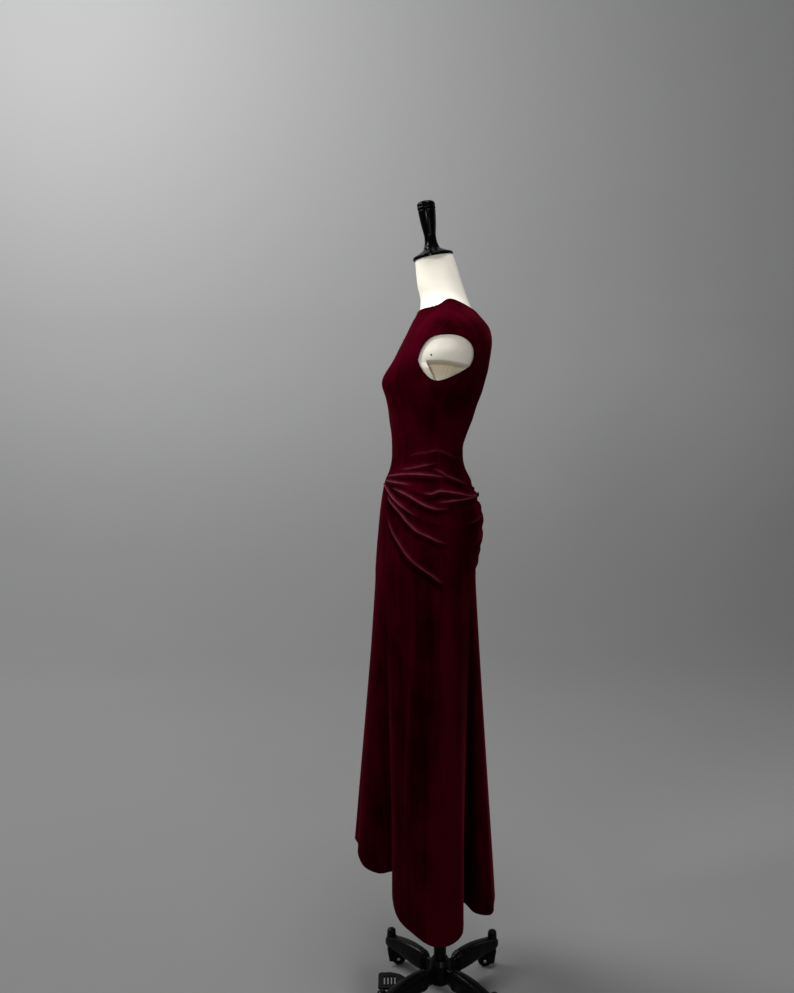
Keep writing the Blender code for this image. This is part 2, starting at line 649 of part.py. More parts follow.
def main():
    for obj in list(bpy.data.objects):
        bpy.data.objects.remove(obj)
    for name in ("bustle_dress", "helpers"):
        collection = bpy.data.collections.new(name)
        bpy.context.scene.collection.children.link(collection)
    axis = bpy.data.objects.new("pole_axis", None)
    axis.location = (0, POLE_SHIFT, 0)
    bpy.data.collections["bustle_dress"].objects.link(axis)
    velvet = material("wine_velvet", WINE, 0.75)
    linen = material("ivory_cover", IVORY, 0.6)
    black = material("black_enamel", BLACK, 0.35, 0.2)
    rubber = material("wheel_rubber", RUBBER, 0.7)
    steel = material("pole_steel", STEEL, 0.3, 1.0)
    build_bodice(velvet)
    build_skirt(velvet)
    build_button(velvet)
    build_form(linen)
    build_neck(black)
    build_pole(steel, black)
    build_base(black)
    build_casters(black, rubber)
    build_pedal(black)


main()
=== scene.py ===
import math

import bpy
import numpy as np
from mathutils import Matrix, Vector


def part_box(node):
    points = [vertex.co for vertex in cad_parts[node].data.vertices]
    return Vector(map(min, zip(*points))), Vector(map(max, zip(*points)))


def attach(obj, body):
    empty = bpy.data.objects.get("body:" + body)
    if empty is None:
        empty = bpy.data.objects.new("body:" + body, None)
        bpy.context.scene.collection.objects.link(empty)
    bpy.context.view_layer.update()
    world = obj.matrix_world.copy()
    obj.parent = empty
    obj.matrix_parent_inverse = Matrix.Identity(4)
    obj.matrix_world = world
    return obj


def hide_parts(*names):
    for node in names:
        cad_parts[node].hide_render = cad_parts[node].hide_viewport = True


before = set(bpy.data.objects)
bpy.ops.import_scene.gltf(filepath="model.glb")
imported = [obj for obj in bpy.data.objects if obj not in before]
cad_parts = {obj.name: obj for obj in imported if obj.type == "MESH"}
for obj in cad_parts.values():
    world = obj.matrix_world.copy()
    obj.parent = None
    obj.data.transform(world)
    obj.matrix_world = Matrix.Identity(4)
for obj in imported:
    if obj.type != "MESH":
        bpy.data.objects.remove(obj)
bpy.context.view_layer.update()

mm = 0.001
poleY = 0.0296  # the pole stands this far behind the middle of the outline
print("frame loaded:", len(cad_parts), "nodes")


# A cubic through the points (xs, ys). Each slope is the mean of its two neighbours', or flat at a turn.
def smoothCurve(x, xs, ys):
    xs, ys = np.asarray(xs, float), np.asarray(ys, float)
    if xs[0] > xs[-1]:
        xs, ys = xs[::-1], ys[::-1]
    steps = np.diff(ys) / np.diff(xs)
    slopes = np.concatenate([[steps[0]], (steps[:-1] + steps[1:]) / 2, [steps[-1]]])
    turns = np.concatenate([[False], steps[:-1] * steps[1:] <= 0, [False]])
    slopes = np.where(turns, 0.0, slopes)
    x = np.clip(x, xs[0], xs[-1])
    i = np.clip(np.searchsorted(xs, x, side="right") - 1, 0, len(xs) - 2)
    width = xs[i + 1] - xs[i]
    t = (x - xs[i]) / width
    return (ys[i] * (1 + 2 * t) * (1 - t) ** 2 + slopes[i] * width * t * (1 - t) ** 2
            + ys[i + 1] * t**2 * (3 - 2 * t) + slopes[i + 1] * width * t**2 * (t - 1))


# One column of a table of rows (x, value, ...) at any x, as a cubic through its points.
def tableValue(x, table, column):
    return smoothCurve(x, [row[0] for row in table], [row[column] for row in table])


# 0 below low, 1 above high, and 3t^2 - 2t^3 between them.
def softStep(x, low, high):
    t = np.clip((x - low) / (high - low), 0, 1)
    return t * t * (3 - 2 * t)


# 0 up to a, 1 from b to c and 0 past d, with soft steps between them.
def softWindow(x, a, b, c, d):
    return softStep(x, a, b) * (1 - softStep(x, c, d))


# exp(-(x / half)^2).
def bell(x, half):
    return np.exp(-((x / half) ** 2))


# The frame's name for a piece: legFrontLeft is leg_front_left.
def frameName(name):
    return "".join("_" + letter.lower() if letter.isupper() else letter for letter in name)


# Smooth noise from a sum of sines whose directions and phases come from one seeded draw.
def softNoise(u, v, seed, waves=9):
    draw = np.random.default_rng(seed)
    total = np.zeros(np.broadcast(u, v).shape)
    for _ in range(waves):
        a, b, c, d = draw.normal(0, 1, 4)
        total += np.sin(a * u + b * v + c * 3) * (0.6 + 0.4 * math.tanh(d))
    return total / math.sqrt(waves)


body = {  # height, half width, front, back, y of the widest point
    "levels": (
        (1.885, 0.0480, -0.0650, 0.0345, -0.0155), (1.850, 0.0500, -0.0625, 0.0470, -0.0070),
        (1.815, 0.0545, -0.0590, 0.0595, 0.0020), (1.790, 0.0610, -0.0535, 0.0700, 0.0120),
        (1.778, 0.0690, -0.0520, 0.0745, 0.0170), (1.766, 0.0860, -0.0525, 0.0800, 0.0200),
        (1.754, 0.1080, -0.0540, 0.0875, 0.0210), (1.742, 0.1310, -0.0585, 0.0966, 0.0210),
        (1.728, 0.1540, -0.0665, 0.1087, 0.0210), (1.714, 0.1720, -0.0735, 0.1185, 0.0200),
        (1.700, 0.1830, -0.0800, 0.1232, 0.0190), (1.682, 0.1895, -0.0896, 0.1254, 0.0180),
        (1.660, 0.1905, -0.1005, 0.1236, 0.0160), (1.640, 0.1870, -0.1085, 0.1205, 0.0110),
        (1.615, 0.1735, -0.1160, 0.1165, 0.0025), (1.590, 0.1570, -0.1195, 0.1100, -0.0045),
        (1.560, 0.1490, -0.1205, 0.1015, -0.0050), (1.530, 0.1410, -0.1250, 0.0900, -0.0040),
        (1.495, 0.1310, -0.1235, 0.0790, -0.0030), (1.460, 0.1210, -0.1188, 0.0655, -0.0020),
        (1.425, 0.1155, -0.1175, 0.0560, 0.0000), (1.395, 0.1175, -0.1185, 0.0570, 0.0000),
        (1.370, 0.1255, -0.1245, 0.0640, 0.0000), (1.345, 0.1360, -0.1350, 0.0735, 0.0000),
        (1.310, 0.1495, -0.1420, 0.0860, 0.0000), (1.270, 0.1600, -0.1475, 0.0985, 0.0000),
        (1.230, 0.1670, -0.1515, 0.1015, 0.0000), (1.180, 0.1720, -0.1560, 0.0965, 0.0000),
        (1.130, 0.1755, -0.1595, 0.0880, 0.0000),
    ),
    "squareness": 2.2,
    "bustLift": 0.027, "bustX": 0.068, "bustSpread": 0.052, "bustHeight": 1.581, "bustRise": 0.042,
}


# The body's outline at an angle from the front and a height, a superellipse about (0, middle): x = reach sin a,
# y = middle - reach cos a, with a soft bell for the bust.
def bodyOutline(angle, height):
    width, front, back, middle = (tableValue(height, body["levels"], column) for column in (1, 2, 3, 4))
    a, power = np.radians(angle), body["squareness"]
    depth = np.where(np.cos(a) > 0, middle - front, back - middle)
    reach = (np.abs(np.sin(a) / width) ** power + np.abs(np.cos(a) / depth) ** power) ** (-1 / power)
    x, y = reach * np.sin(a), middle - reach * np.cos(a)
    across = bell(np.abs(x) - body["bustX"], body["bustSpread"])
    upright = bell(height - body["bustHeight"], body["bustRise"])
    y = y - body["bustLift"] * across * upright * np.sqrt(np.clip(np.cos(a), 0, 1))
    return np.stack([x, y, height + 0 * x], axis=-1)


skirt = {
    "hip": 1.130,
    "hipEase": 0.07,  # share of the fall over which the cloth leaves the hip
    "hemFolds": (  # angle, radius from the pole, height above the floor
        (-180, 0.139, 0.252), (-168, 0.145, 0.254), (-158, 0.149, 0.258), (-142, 0.132, 0.280),
        (-127, 0.114, 0.302), (-108, 0.200, 0.310), (-90, 0.2960, 0.316), (-75, 0.250, 0.325),
        (-58, 0.190, 0.350), (-42, 0.144, 0.372), (-28, 0.197, 0.390), (-14, 0.228, 0.406),
        (-2, 0.211, 0.4100), (9, 0.2089, 0.3981), (18, 0.1978, 0.3856), (28, 0.1702, 0.3760),
        (39, 0.1496, 0.3870), (50, 0.1805, 0.3533), (62, 0.2180, 0.3286), (75, 0.2612, 0.3220),
        (88, 0.2949, 0.3153), (98, 0.2624, 0.3072), (108, 0.1860, 0.2980), (124, 0.1021, 0.3020),
        (136, 0.1190, 0.2750), (148, 0.1414, 0.2646), (160, 0.1431, 0.2590), (172, 0.1388, 0.2526),
        (180, 0.1391, 0.2515),
    ),
    # heights of the waist seam and of the swag's lower end, by angle from the centre front
    "waist": ((0, 1.3580), (45, 1.3880), (90, 1.4240), (120, 1.3980), (180, 1.3680)),
    "swagEnd": ((0, 1.2900), (45, 1.1500), (90, 1.0700), (120, 1.1150), (180, 1.1300)),
    "goreTop": 90 / 13, "goreHem": 27.0,  # half width of the front gore in degrees, at the waist and the hem
    "valleyShade": 0.75,
    "swagRows": 250, "fallRows": 84, "hemRows": 18, "hemShare": 0.05,
    "sideColumns": 104, "backColumns": 84, "goreColumns": 28,
}


# Above the hip the body's outline. Below it, the way from hip to hem, starting as a parabola.
def skirtOutline(angle, height):
    a = np.radians(angle)
    hipLevel = skirt["hip"] + 0 * np.asarray(angle, float)
    hip = bodyOutline(angle, np.maximum(height, hipLevel))
    radius, hemHeight = tableValue(angle, skirt["hemFolds"], 1), tableValue(angle, skirt["hemFolds"], 2)
    share = np.clip((skirt["hip"] - height) / (skirt["hip"] - hemHeight), 0, 1)
    ease = skirt["hipEase"]
    fall = np.where(share < ease, share**2 / (2 * ease), share - ease / 2) + ease / 2 * share
    hem = np.stack([radius * np.sin(a), -radius * np.cos(a), height + 0 * a], axis=-1)
    points = hip * (1 - fall[..., None]) + hem * fall[..., None]
    points[..., 2] = height
    return points


# Unit normals of an outline: the cross product of small steps round it, in degrees, and up it.
def outlineNormals(outline, angle, height):
    turn, rise = 0.5, 1.0 * mm
    around = outline(angle + turn, height) - outline(angle - turn, height)
    up = outline(angle, height + rise) - outline(angle, height - rise)
    normal = np.cross(around, up)
    return normal / np.linalg.norm(normal, axis=-1, keepdims=True)


# A mesh from points (N, 3) and quads (M, 4), with a UV pair and attribute values for each point where given.
def meshFromQuads(name, points, quads, uv=None, attributes=None, sharpAngle=50):
    mesh = bpy.data.meshes.new(name)
    points = np.asarray(points, float) + np.array([0, poleY, 0])
    mesh.vertices.add(len(points))
    mesh.vertices.foreach_set("co", points.astype(np.float32).ravel())
    mesh.loops.add(quads.size)
    mesh.loops.foreach_set("vertex_index", quads.astype(np.int32).ravel())
    mesh.polygons.add(len(quads))
    mesh.polygons.foreach_set("loop_start", np.arange(0, quads.size, 4, dtype=np.int32))
    mesh.update(calc_edges=True)
    if uv is not None:
        layer = mesh.uv_layers.new(name="cloth")
        layer.data.foreach_set("uv", uv[quads.ravel()].astype(np.float32).ravel())
    for key, values in (attributes or {}).items():
        made = mesh.attributes.new(key, "FLOAT", "POINT")
        made.data.foreach_set("value", values.astype(np.float32))
    mesh.shade_smooth()
    mesh.set_sharp_from_angle(angle=math.radians(sharpAngle))
    mesh.validate()
    return mesh


def addPiece(name, mesh, finishes, bodyName, replaces=()):
    obj = bpy.data.objects.new(name, mesh)
    bpy.context.scene.collection.objects.link(obj)
    for finish in finishes:
        mesh.materials.append(finish)
    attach(obj, bodyName)
    if replaces:
        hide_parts(*replaces)
    return obj


# Quads between neighbouring rows and columns of a grid; wrap joins its last column to its first.
def gridQuads(rows, columns, wrap=False, start=0):
    r = np.arange(rows - 1)[:, None] * columns + start
    c = np.arange(columns if wrap else columns - 1)[None, :]
    nextC = (c + 1) % columns
    return np.stack([r + c, r + nextC, r + columns + nextC, r + columns + c], axis=-1).reshape(-1, 4)


# Arc length along one axis of a grid of points.
def runLength(points, axis):
    steps = np.linalg.norm(np.diff(points, axis=axis), axis=-1)
    pad = np.zeros_like(np.take(steps, [0], axis=axis))
    return np.concatenate([pad, np.cumsum(steps, axis=axis)], axis=axis)


# Normals of a grid whose rows run up and columns run counter-clockwise.
def gridNormals(points, wrap=False):
    if wrap:
        along = np.roll(points, -1, axis=1) - np.roll(points, 1, axis=1)
    else:
        along = np.gradient(points, axis=1)
    normal = np.cross(along, np.gradient(points, axis=0))
    return normal / np.maximum(np.linalg.norm(normal, axis=-1, keepdims=True), 1e-12)


cloth = {
    "thickness": 1.4 * mm, "seamDepth": 0.10 * mm, "seamHalf": 1.3 * mm, "sharpAngle": 62,
    "edgeColumn": 0.006,  # share of a panel's width
}


# How far each point of a grid is from its nearest side edge, along its row.
def edgeDistance(points):
    across = runLength(points, 1)
    return np.minimum(across, across[:, -1:] - across)


# A sewn seam draws the cloth in by a shallow bell.
def seamDip(distance):
    return cloth["seamDepth"] * bell(distance, cloth["seamHalf"])


# A cloth shell: the outer grid, the same grid moved in by the cloth's thickness, and a rim of quads round both.
def clothShell(name, outer, attributes):
    rows, columns = outer.shape[:2]
    inner = outer - gridNormals(outer) * cloth["thickness"]
    size = rows * columns
    face = gridQuads(rows, columns)
    inside = (face + size)[:, ::-1]
    bottom, top = np.arange(columns), np.arange(columns) + size - columns
    left, right = np.arange(rows) * columns, np.arange(rows) * columns + columns - 1
    rims = []
    for edge in (bottom, right):
        rims.append(np.stack([edge[1:], edge[:-1], edge[:-1] + size, edge[1:] + size], axis=-1))
    for edge in (top, left):
        rims.append(np.stack([edge[:-1], edge[1:], edge[1:] + size, edge[:-1] + size], axis=-1))
    quads = np.concatenate([face, inside, *rims])
    across, down = runLength(outer, 1), runLength(outer, 0)
    middle = across[:, columns // 2][:, None]
    uv = np.stack([across - middle, down], axis=-1).reshape(-1, 2)
    both = {key: np.tile(values.ravel(), 2) for key, values in attributes.items()}
    points = np.concatenate([outer.reshape(-1, 3), inner.reshape(-1, 3)])
    mesh = meshFromQuads(name, points, quads, np.tile(uv, (2, 1)), both, cloth["sharpAngle"])
    isInside = np.zeros(len(quads), np.int32)
    isInside[len(face):2 * len(face)] = 1
    mesh.polygons.foreach_set("material_index", isInside)
    return mesh


# Shares of the way across a panel, with a narrow column at each sewn edge.
def panelColumns(count):
    edge = cloth["edgeColumn"]
    return np.concatenate([[0.0, edge / 2], np.linspace(edge, 1 - edge, count - 3), [1 - edge / 2, 1.0]])


def newMaterial(name):
    made = bpy.data.materials.new(name)
    made.use_nodes = True
    return made, made.node_tree, made.node_tree.nodes["Principled BSDF"]


def addNode(tree, kind, **settings):
    node = tree.nodes.new(kind)
    for key, value in settings.items():
        setattr(node, key, value)
    return node


def newGroup(name, inputs, outputs):
    group = bpy.data.node_groups.new(name, "ShaderNodeTree")
    for label, kind, value in inputs:
        socket = group.interface.new_socket(label, in_out="INPUT", socket_type=kind)
        if value is not None:
            socket.default_value = value
    for label, kind in outputs:
        group.interface.new_socket(label, in_out="OUTPUT", socket_type=kind)
    return group, addNode(group, "NodeGroupInput"), addNode(group, "NodeGroupOutput")


# Feeds a node's inputs: each from another node's socket, or with a plain value.
def feed(tree, node, inputs):
    for label, source in inputs.items():
        if isinstance(source, bpy.types.NodeSocket):
            tree.links.new(source, node.inputs[label])
        else:
            node.inputs[label].default_value = source


def fedNode(tree, kind, inputs, **settings):
    node = addNode(tree, kind, **settings)
    feed(tree, node, inputs)
    return node


def mathNode(tree, operation, *sources):
    return fedNode(tree, "ShaderNodeMath", dict(enumerate(sources)), operation=operation).outputs[0]


def mixNode(tree, share, first, second):
    inputs = {"Factor": share, "A": first, "B": second}
    return fedNode(tree, "ShaderNodeMix", inputs, data_type="RGBA").outputs["Result"]


# Relief of the given depth in metres, from a height that changes over the surface.
def addBump(tree, shader, height, depth, strength):
    bump = fedNode(tree, "ShaderNodeBump", {"Height": height, "Distance": depth, "Strength": strength})
    feed(tree, shader, {"Normal": bump.outputs["Normal"]})


napLook = {
    "patchDetail": 2.5, "streakDetail": 3.0, "streakStretch": (1.0, 0.07, 1.0),
    "pileDetail": 4.0, "pileRoughness": 0.65,
    "patchShare": 0.62, "streakShare": 0.38, "leanAndLightShare": 0.20,  # what each adds to the mix of the two colours
    "deepBelow": 0.34, "brushedAbove": 0.68, "streakRelief": 0.5,
}


# Pile of the velvet: crushed patches, long streaks along the pile's grain, and a lean that holds both the
# pile's lean and painted light and shade mix two colours. The fine pile and half of the streaks give the
# height.
def makeNapGroup():
    group, source, out = newGroup(
        "velvetNap",
        [("Vector", "NodeSocketVector", None), ("DeepColour", "NodeSocketColor", (0, 0, 0, 1)),
         ("BrushedColour", "NodeSocketColor", (1, 0, 0, 1)), ("Lean", "NodeSocketFloat", 0.0),
         ("Patches", "NodeSocketFloat", 9.0), ("Streaks", "NodeSocketFloat", 60.0),
         ("Pile", "NodeSocketFloat", 900.0)],
        [("Colour", "NodeSocketColor"), ("Height", "NodeSocketFloat")])
    given = source.outputs
    patches = fedNode(group, "ShaderNodeTexNoise", {
        "Vector": given["Vector"], "Scale": given["Patches"], "Detail": napLook["patchDetail"]})
    stretch = fedNode(group, "ShaderNodeMapping", {
        "Vector": given["Vector"], "Scale": napLook["streakStretch"]})
    streaks = fedNode(group, "ShaderNodeTexNoise", {
        "Vector": stretch.outputs["Vector"], "Scale": given["Streaks"], "Detail": napLook["streakDetail"]})
    pile = fedNode(group, "ShaderNodeTexNoise", {
        "Vector": given["Vector"], "Scale": given["Pile"], "Detail": napLook["pileDetail"],
        "Roughness": napLook["pileRoughness"]})
    streakPart = mathNode(group, "MULTIPLY", streaks.outputs["Fac"], napLook["streakShare"])
    blend = mathNode(group, "MULTIPLY_ADD", patches.outputs["Fac"], napLook["patchShare"], streakPart)
    leaningAndLight = mathNode(group, "MULTIPLY_ADD", given["Lean"], napLook["leanAndLightShare"], blend)
    brushed = fedNode(group, "ShaderNodeMapRange", {
        "Value": leaningAndLight, "From Min": napLook["deepBelow"], "From Max": napLook["brushedAbove"]})
    colour = mixNode(group, brushed.outputs["Result"], given["DeepColour"], given["BrushedColour"])
    relief = mathNode(group, "MULTIPLY_ADD", streaks.outputs["Fac"], napLook["streakRelief"],
                      pile.outputs["Fac"])
    feed(group, out, {"Colour": colour, "Height": relief})
    return group


velvet = {
    "deep": (0.0100, 0.0001, 0.0005, 1), "brushed": (0.0400, 0.0003, 0.0048, 1),
    # a painted highlight colour for fold crests, and a painted shade colour for the hollows under them
    "crestHighlight": (0.190, 0.034, 0.058, 1), "shaded": (0.0030, 0.0001, 0.0002, 1),
    "sheen": 0.11, "sheenRoughness": 0.30, "sheenTint": (0.90, 0.08, 0.15, 1),
    "roughness": 0.60,
    "patches": 9.0, "streaks": 60.0, "pile": 900.0,  # how many to a metre, about
    "pileDepth": 0.22 * mm, "pileStrength": 0.6,
    "innerDeep": (0.012, 0.0004, 0.0016, 1), "innerBrushed": (0.022, 0.0008, 0.0030, 1), "innerSheen": 0.05,
    "innerPile": 500.0,
}


# Velvet: the pile's two colours, mixed as a mesh attribute says that holds the pile's lean and painted light
# and shade; then painted shade in the hollows between folds and a painted highlight colour on their crests.
def makeVelvet(name, deep, brushed, sheen, pile, napGroup):
    made, tree, shader = newMaterial(name)
    place = addNode(tree, "ShaderNodeTexCoord")
    # this attribute carries the pile's lean together with painted light and shade
    lean = addNode(tree, "ShaderNodeAttribute", attribute_name="nap")
    nap = fedNode(tree, "ShaderNodeGroup", {
        "Vector": place.outputs["UV"], "DeepColour": deep, "BrushedColour": brushed,
        "Lean": lean.outputs["Fac"], "Patches": velvet["patches"], "Streaks": velvet["streaks"],
        "Pile": pile}, node_tree=napGroup)
    colour = nap.outputs["Colour"]
    for attribute, tone in (("shade", "shaded"), ("paintedHighlight", "crestHighlight")):
        amount = addNode(tree, "ShaderNodeAttribute", attribute_name=attribute)
        colour = mixNode(tree, amount.outputs["Fac"], colour, velvet[tone])
    feed(tree, shader, {
        "Base Color": colour, "Roughness": velvet["roughness"],
        "Specular IOR Level": 0.0,  # pile has no smooth face that would mirror light
        "Sheen Weight": sheen, "Sheen Roughness": velvet["sheenRoughness"], "Sheen Tint": velvet["sheenTint"]})
    addBump(tree, shader, nap.outputs["Height"], velvet["pileDepth"], velvet["pileStrength"])
    return made


knitLook = {"ageScale": 14.0, "ageDetail": 3.0, "waver": 0.4}


# Knitted cover: crossing waves of threads give height, broad noise gives a faint yellowing.
def makeKnitGroup():
    group, source, out = newGroup(
        "fineKnit",
        [("Vector", "NodeSocketVector", None), ("Light", "NodeSocketColor", (1, 1, 1, 1)),
         ("Aged", "NodeSocketColor", (1, 1, 0.9, 1)), ("Threads", "NodeSocketFloat", 900.0)],
        [("Colour", "NodeSocketColor"), ("Height", "NodeSocketFloat")])
    given = source.outputs
    ageing = fedNode(group, "ShaderNodeTexNoise", {
        "Vector": given["Vector"], "Scale": knitLook["ageScale"], "Detail": knitLook["ageDetail"]})
    waves = [fedNode(group, "ShaderNodeTexWave", {
        "Vector": given["Vector"], "Scale": given["Threads"], "Distortion": knitLook["waver"]},
        wave_type="BANDS", bands_direction=direction).outputs["Fac"] for direction in ("X", "Z")]
    feed(group, out, {"Colour": mixNode(group, ageing.outputs["Fac"], given["Light"], given["Aged"]),
                      "Height": mathNode(group, "ADD", *waves)})
    return group


wearLook = {"smearScale": 35.0, "smearDetail": 5.0, "smearFrom": 0.3, "smearTo": 0.7, "grainDetail": 2.0}


# Handled gloss: noise in two sizes roughens a smooth finish and lays a little pale dust on it.
def makeWearGroup():
    group, source, out = newGroup(
        "handledGloss",
        [("Vector", "NodeSocketVector", None), ("Colour", "NodeSocketColor", (0, 0, 0, 1)),
         ("Dust", "NodeSocketColor", (0.2, 0.2, 0.2, 1)), ("DustAmount", "NodeSocketFloat", 0.1),
         ("Smoothest", "NodeSocketFloat", 0.2), ("Roughest", "NodeSocketFloat", 0.4),
         ("Grain", "NodeSocketFloat", 300.0)],
        [("Colour", "NodeSocketColor"), ("Roughness", "NodeSocketFloat"), ("Height", "NodeSocketFloat")])
    given = source.outputs
    smears = fedNode(group, "ShaderNodeTexNoise", {
        "Vector": given["Vector"], "Scale": wearLook["smearScale"], "Detail": wearLook["smearDetail"]})
    grain = fedNode(group, "ShaderNodeTexNoise", {
        "Vector": given["Vector"], "Scale": given["Grain"], "Detail": wearLook["grainDetail"]})
    rough = fedNode(group, "ShaderNodeMapRange", {
        "Value": smears.outputs["Fac"], "From Min": wearLook["smearFrom"], "From Max": wearLook["smearTo"],
        "To Min": given["Smoothest"], "To Max": given["Roughest"]})
    settled = mathNode(group, "MULTIPLY", smears.outputs["Fac"], given["DustAmount"])
    feed(group, out, {"Colour": mixNode(group, settled, given["Colour"], given["Dust"]),
                      "Roughness": rough.outputs["Result"], "Height": grain.outputs["Fac"]})
    return group


coverFinish = {
    # the tan for the stub's hollow is partly its lining's own colour and partly painted shade
    "light": (0.80, 0.765, 0.695, 1), "aged": (0.75, 0.705, 0.60, 1), "liningAndShade": (0.50, 0.41, 0.25, 1),
    "threads": 700.0, "threadDepth": 0.1 * mm, "threadStrength": 0.35,
    "roughness": 0.62, "sheen": 0.15, "specular": 0.35,
}


# The form's ivory knit, mixed towards a darker tan in the stub's hollow as a mesh attribute says: partly the
# stub's lining and partly painted shade.
def makeCover(knitGroup):
    made, tree, shader = newMaterial("ivoryCover")
    place = addNode(tree, "ShaderNodeTexCoord")
    knit = fedNode(tree, "ShaderNodeGroup", {
        "Vector": place.outputs["Object"], "Light": coverFinish["light"], "Aged": coverFinish["aged"],
        "Threads": coverFinish["threads"]}, node_tree=knitGroup)
    liningAndShade = addNode(tree, "ShaderNodeAttribute", attribute_name="liningAndShade")
    feed(tree, shader, {
        "Base Color": mixNode(tree, liningAndShade.outputs["Fac"], knit.outputs["Colour"], coverFinish["liningAndShade"]),
        "Roughness": coverFinish["roughness"], "Sheen Weight": coverFinish["sheen"],
        "Specular IOR Level": coverFinish["specular"]})
    addBump(tree, shader, knit.outputs["Height"], coverFinish["threadDepth"], coverFinish["threadStrength"])
    return made


hardFinishes = {  # roughness is that of the smoothest and of the roughest places; depth is the grain's
    "blackHandle": {
        "colour": (0.0009, 0.0009, 0.0010, 1), "dust": (0.02, 0.02, 0.02, 1), "dustAmount": 0.01,
        "roughness": (0.16, 0.26), "grain": 260.0, "depth": 0.02 * mm, "metallic": 0.0, "coat": 0.05,
        "specular": 0.03},
    "blackBase": {
        "colour": (0.0018, 0.0018, 0.0020, 1), "dust": (0.04, 0.04, 0.04, 1), "dustAmount": 0.04,
        "roughness": (0.24, 0.44), "grain": 420.0, "depth": 0.05 * mm, "metallic": 0.0, "coat": 0.05,
        "specular": 0.08},
    "casterRubber": {
        "colour": (0.0035, 0.0034, 0.0034, 1), "dust": (0.06, 0.055, 0.05, 1), "dustAmount": 0.08,
        "roughness": (0.50, 0.75), "grain": 500.0, "depth": 0.06 * mm, "metallic": 0.0, "coat": 0.0,
        "specular": 0.08},
    "poleSteel": {
        "colour": (0.50, 0.50, 0.51, 1), "dust": (0.30, 0.30, 0.30, 1), "dustAmount": 0.10,
        "roughness": (0.22, 0.38), "grain": 800.0, "depth": 0.02 * mm, "metallic": 1.0, "coat": 0.0,
        "specular": 0.5},
}
grainStrength, coatRoughness = 0.5, 0.08


def makeHardFinish(name, wearGroup):
    finish = hardFinishes[name]
    made, tree, shader = newMaterial(name)
    place = addNode(tree, "ShaderNodeTexCoord")
    smoothest, roughest = finish["roughness"]
    wear = fedNode(tree, "ShaderNodeGroup", {
        "Vector": place.outputs["Object"], "Colour": finish["colour"], "Dust": finish["dust"],
        "DustAmount": finish["dustAmount"], "Smoothest": smoothest, "Roughest": roughest,
        "Grain": finish["grain"]}, node_tree=wearGroup)
    feed(tree, shader, {
        "Base Color": wear.outputs["Colour"], "Roughness": wear.outputs["Roughness"],
        "Metallic": finish["metallic"], "Specular IOR Level": finish["specular"],
        "Coat Weight": finish["coat"], "Coat Roughness": coatRoughness})
    addBump(tree, shader, wear.outputs["Height"], finish["depth"], grainStrength)
    return made


napGroup, knitGroup, wearGroup = makeNapGroup(), makeKnitGroup(), makeWearGroup()
velvetFace = makeVelvet("wineVelvet", velvet["deep"], velvet["brushed"], velvet["sheen"], velvet["pile"],
                        napGroup)
velvetInside = makeVelvet("velvetInside", velvet["innerDeep"], velvet["innerBrushed"], velvet["innerSheen"],
                          velvet["innerPile"], napGroup)
ivoryCover = makeCover(knitGroup)
blackHandle, blackBase, casterRubber, poleSteel = (makeHardFinish(name, wearGroup) for name in hardFinishes)
print("materials made:", len(bpy.data.materials))


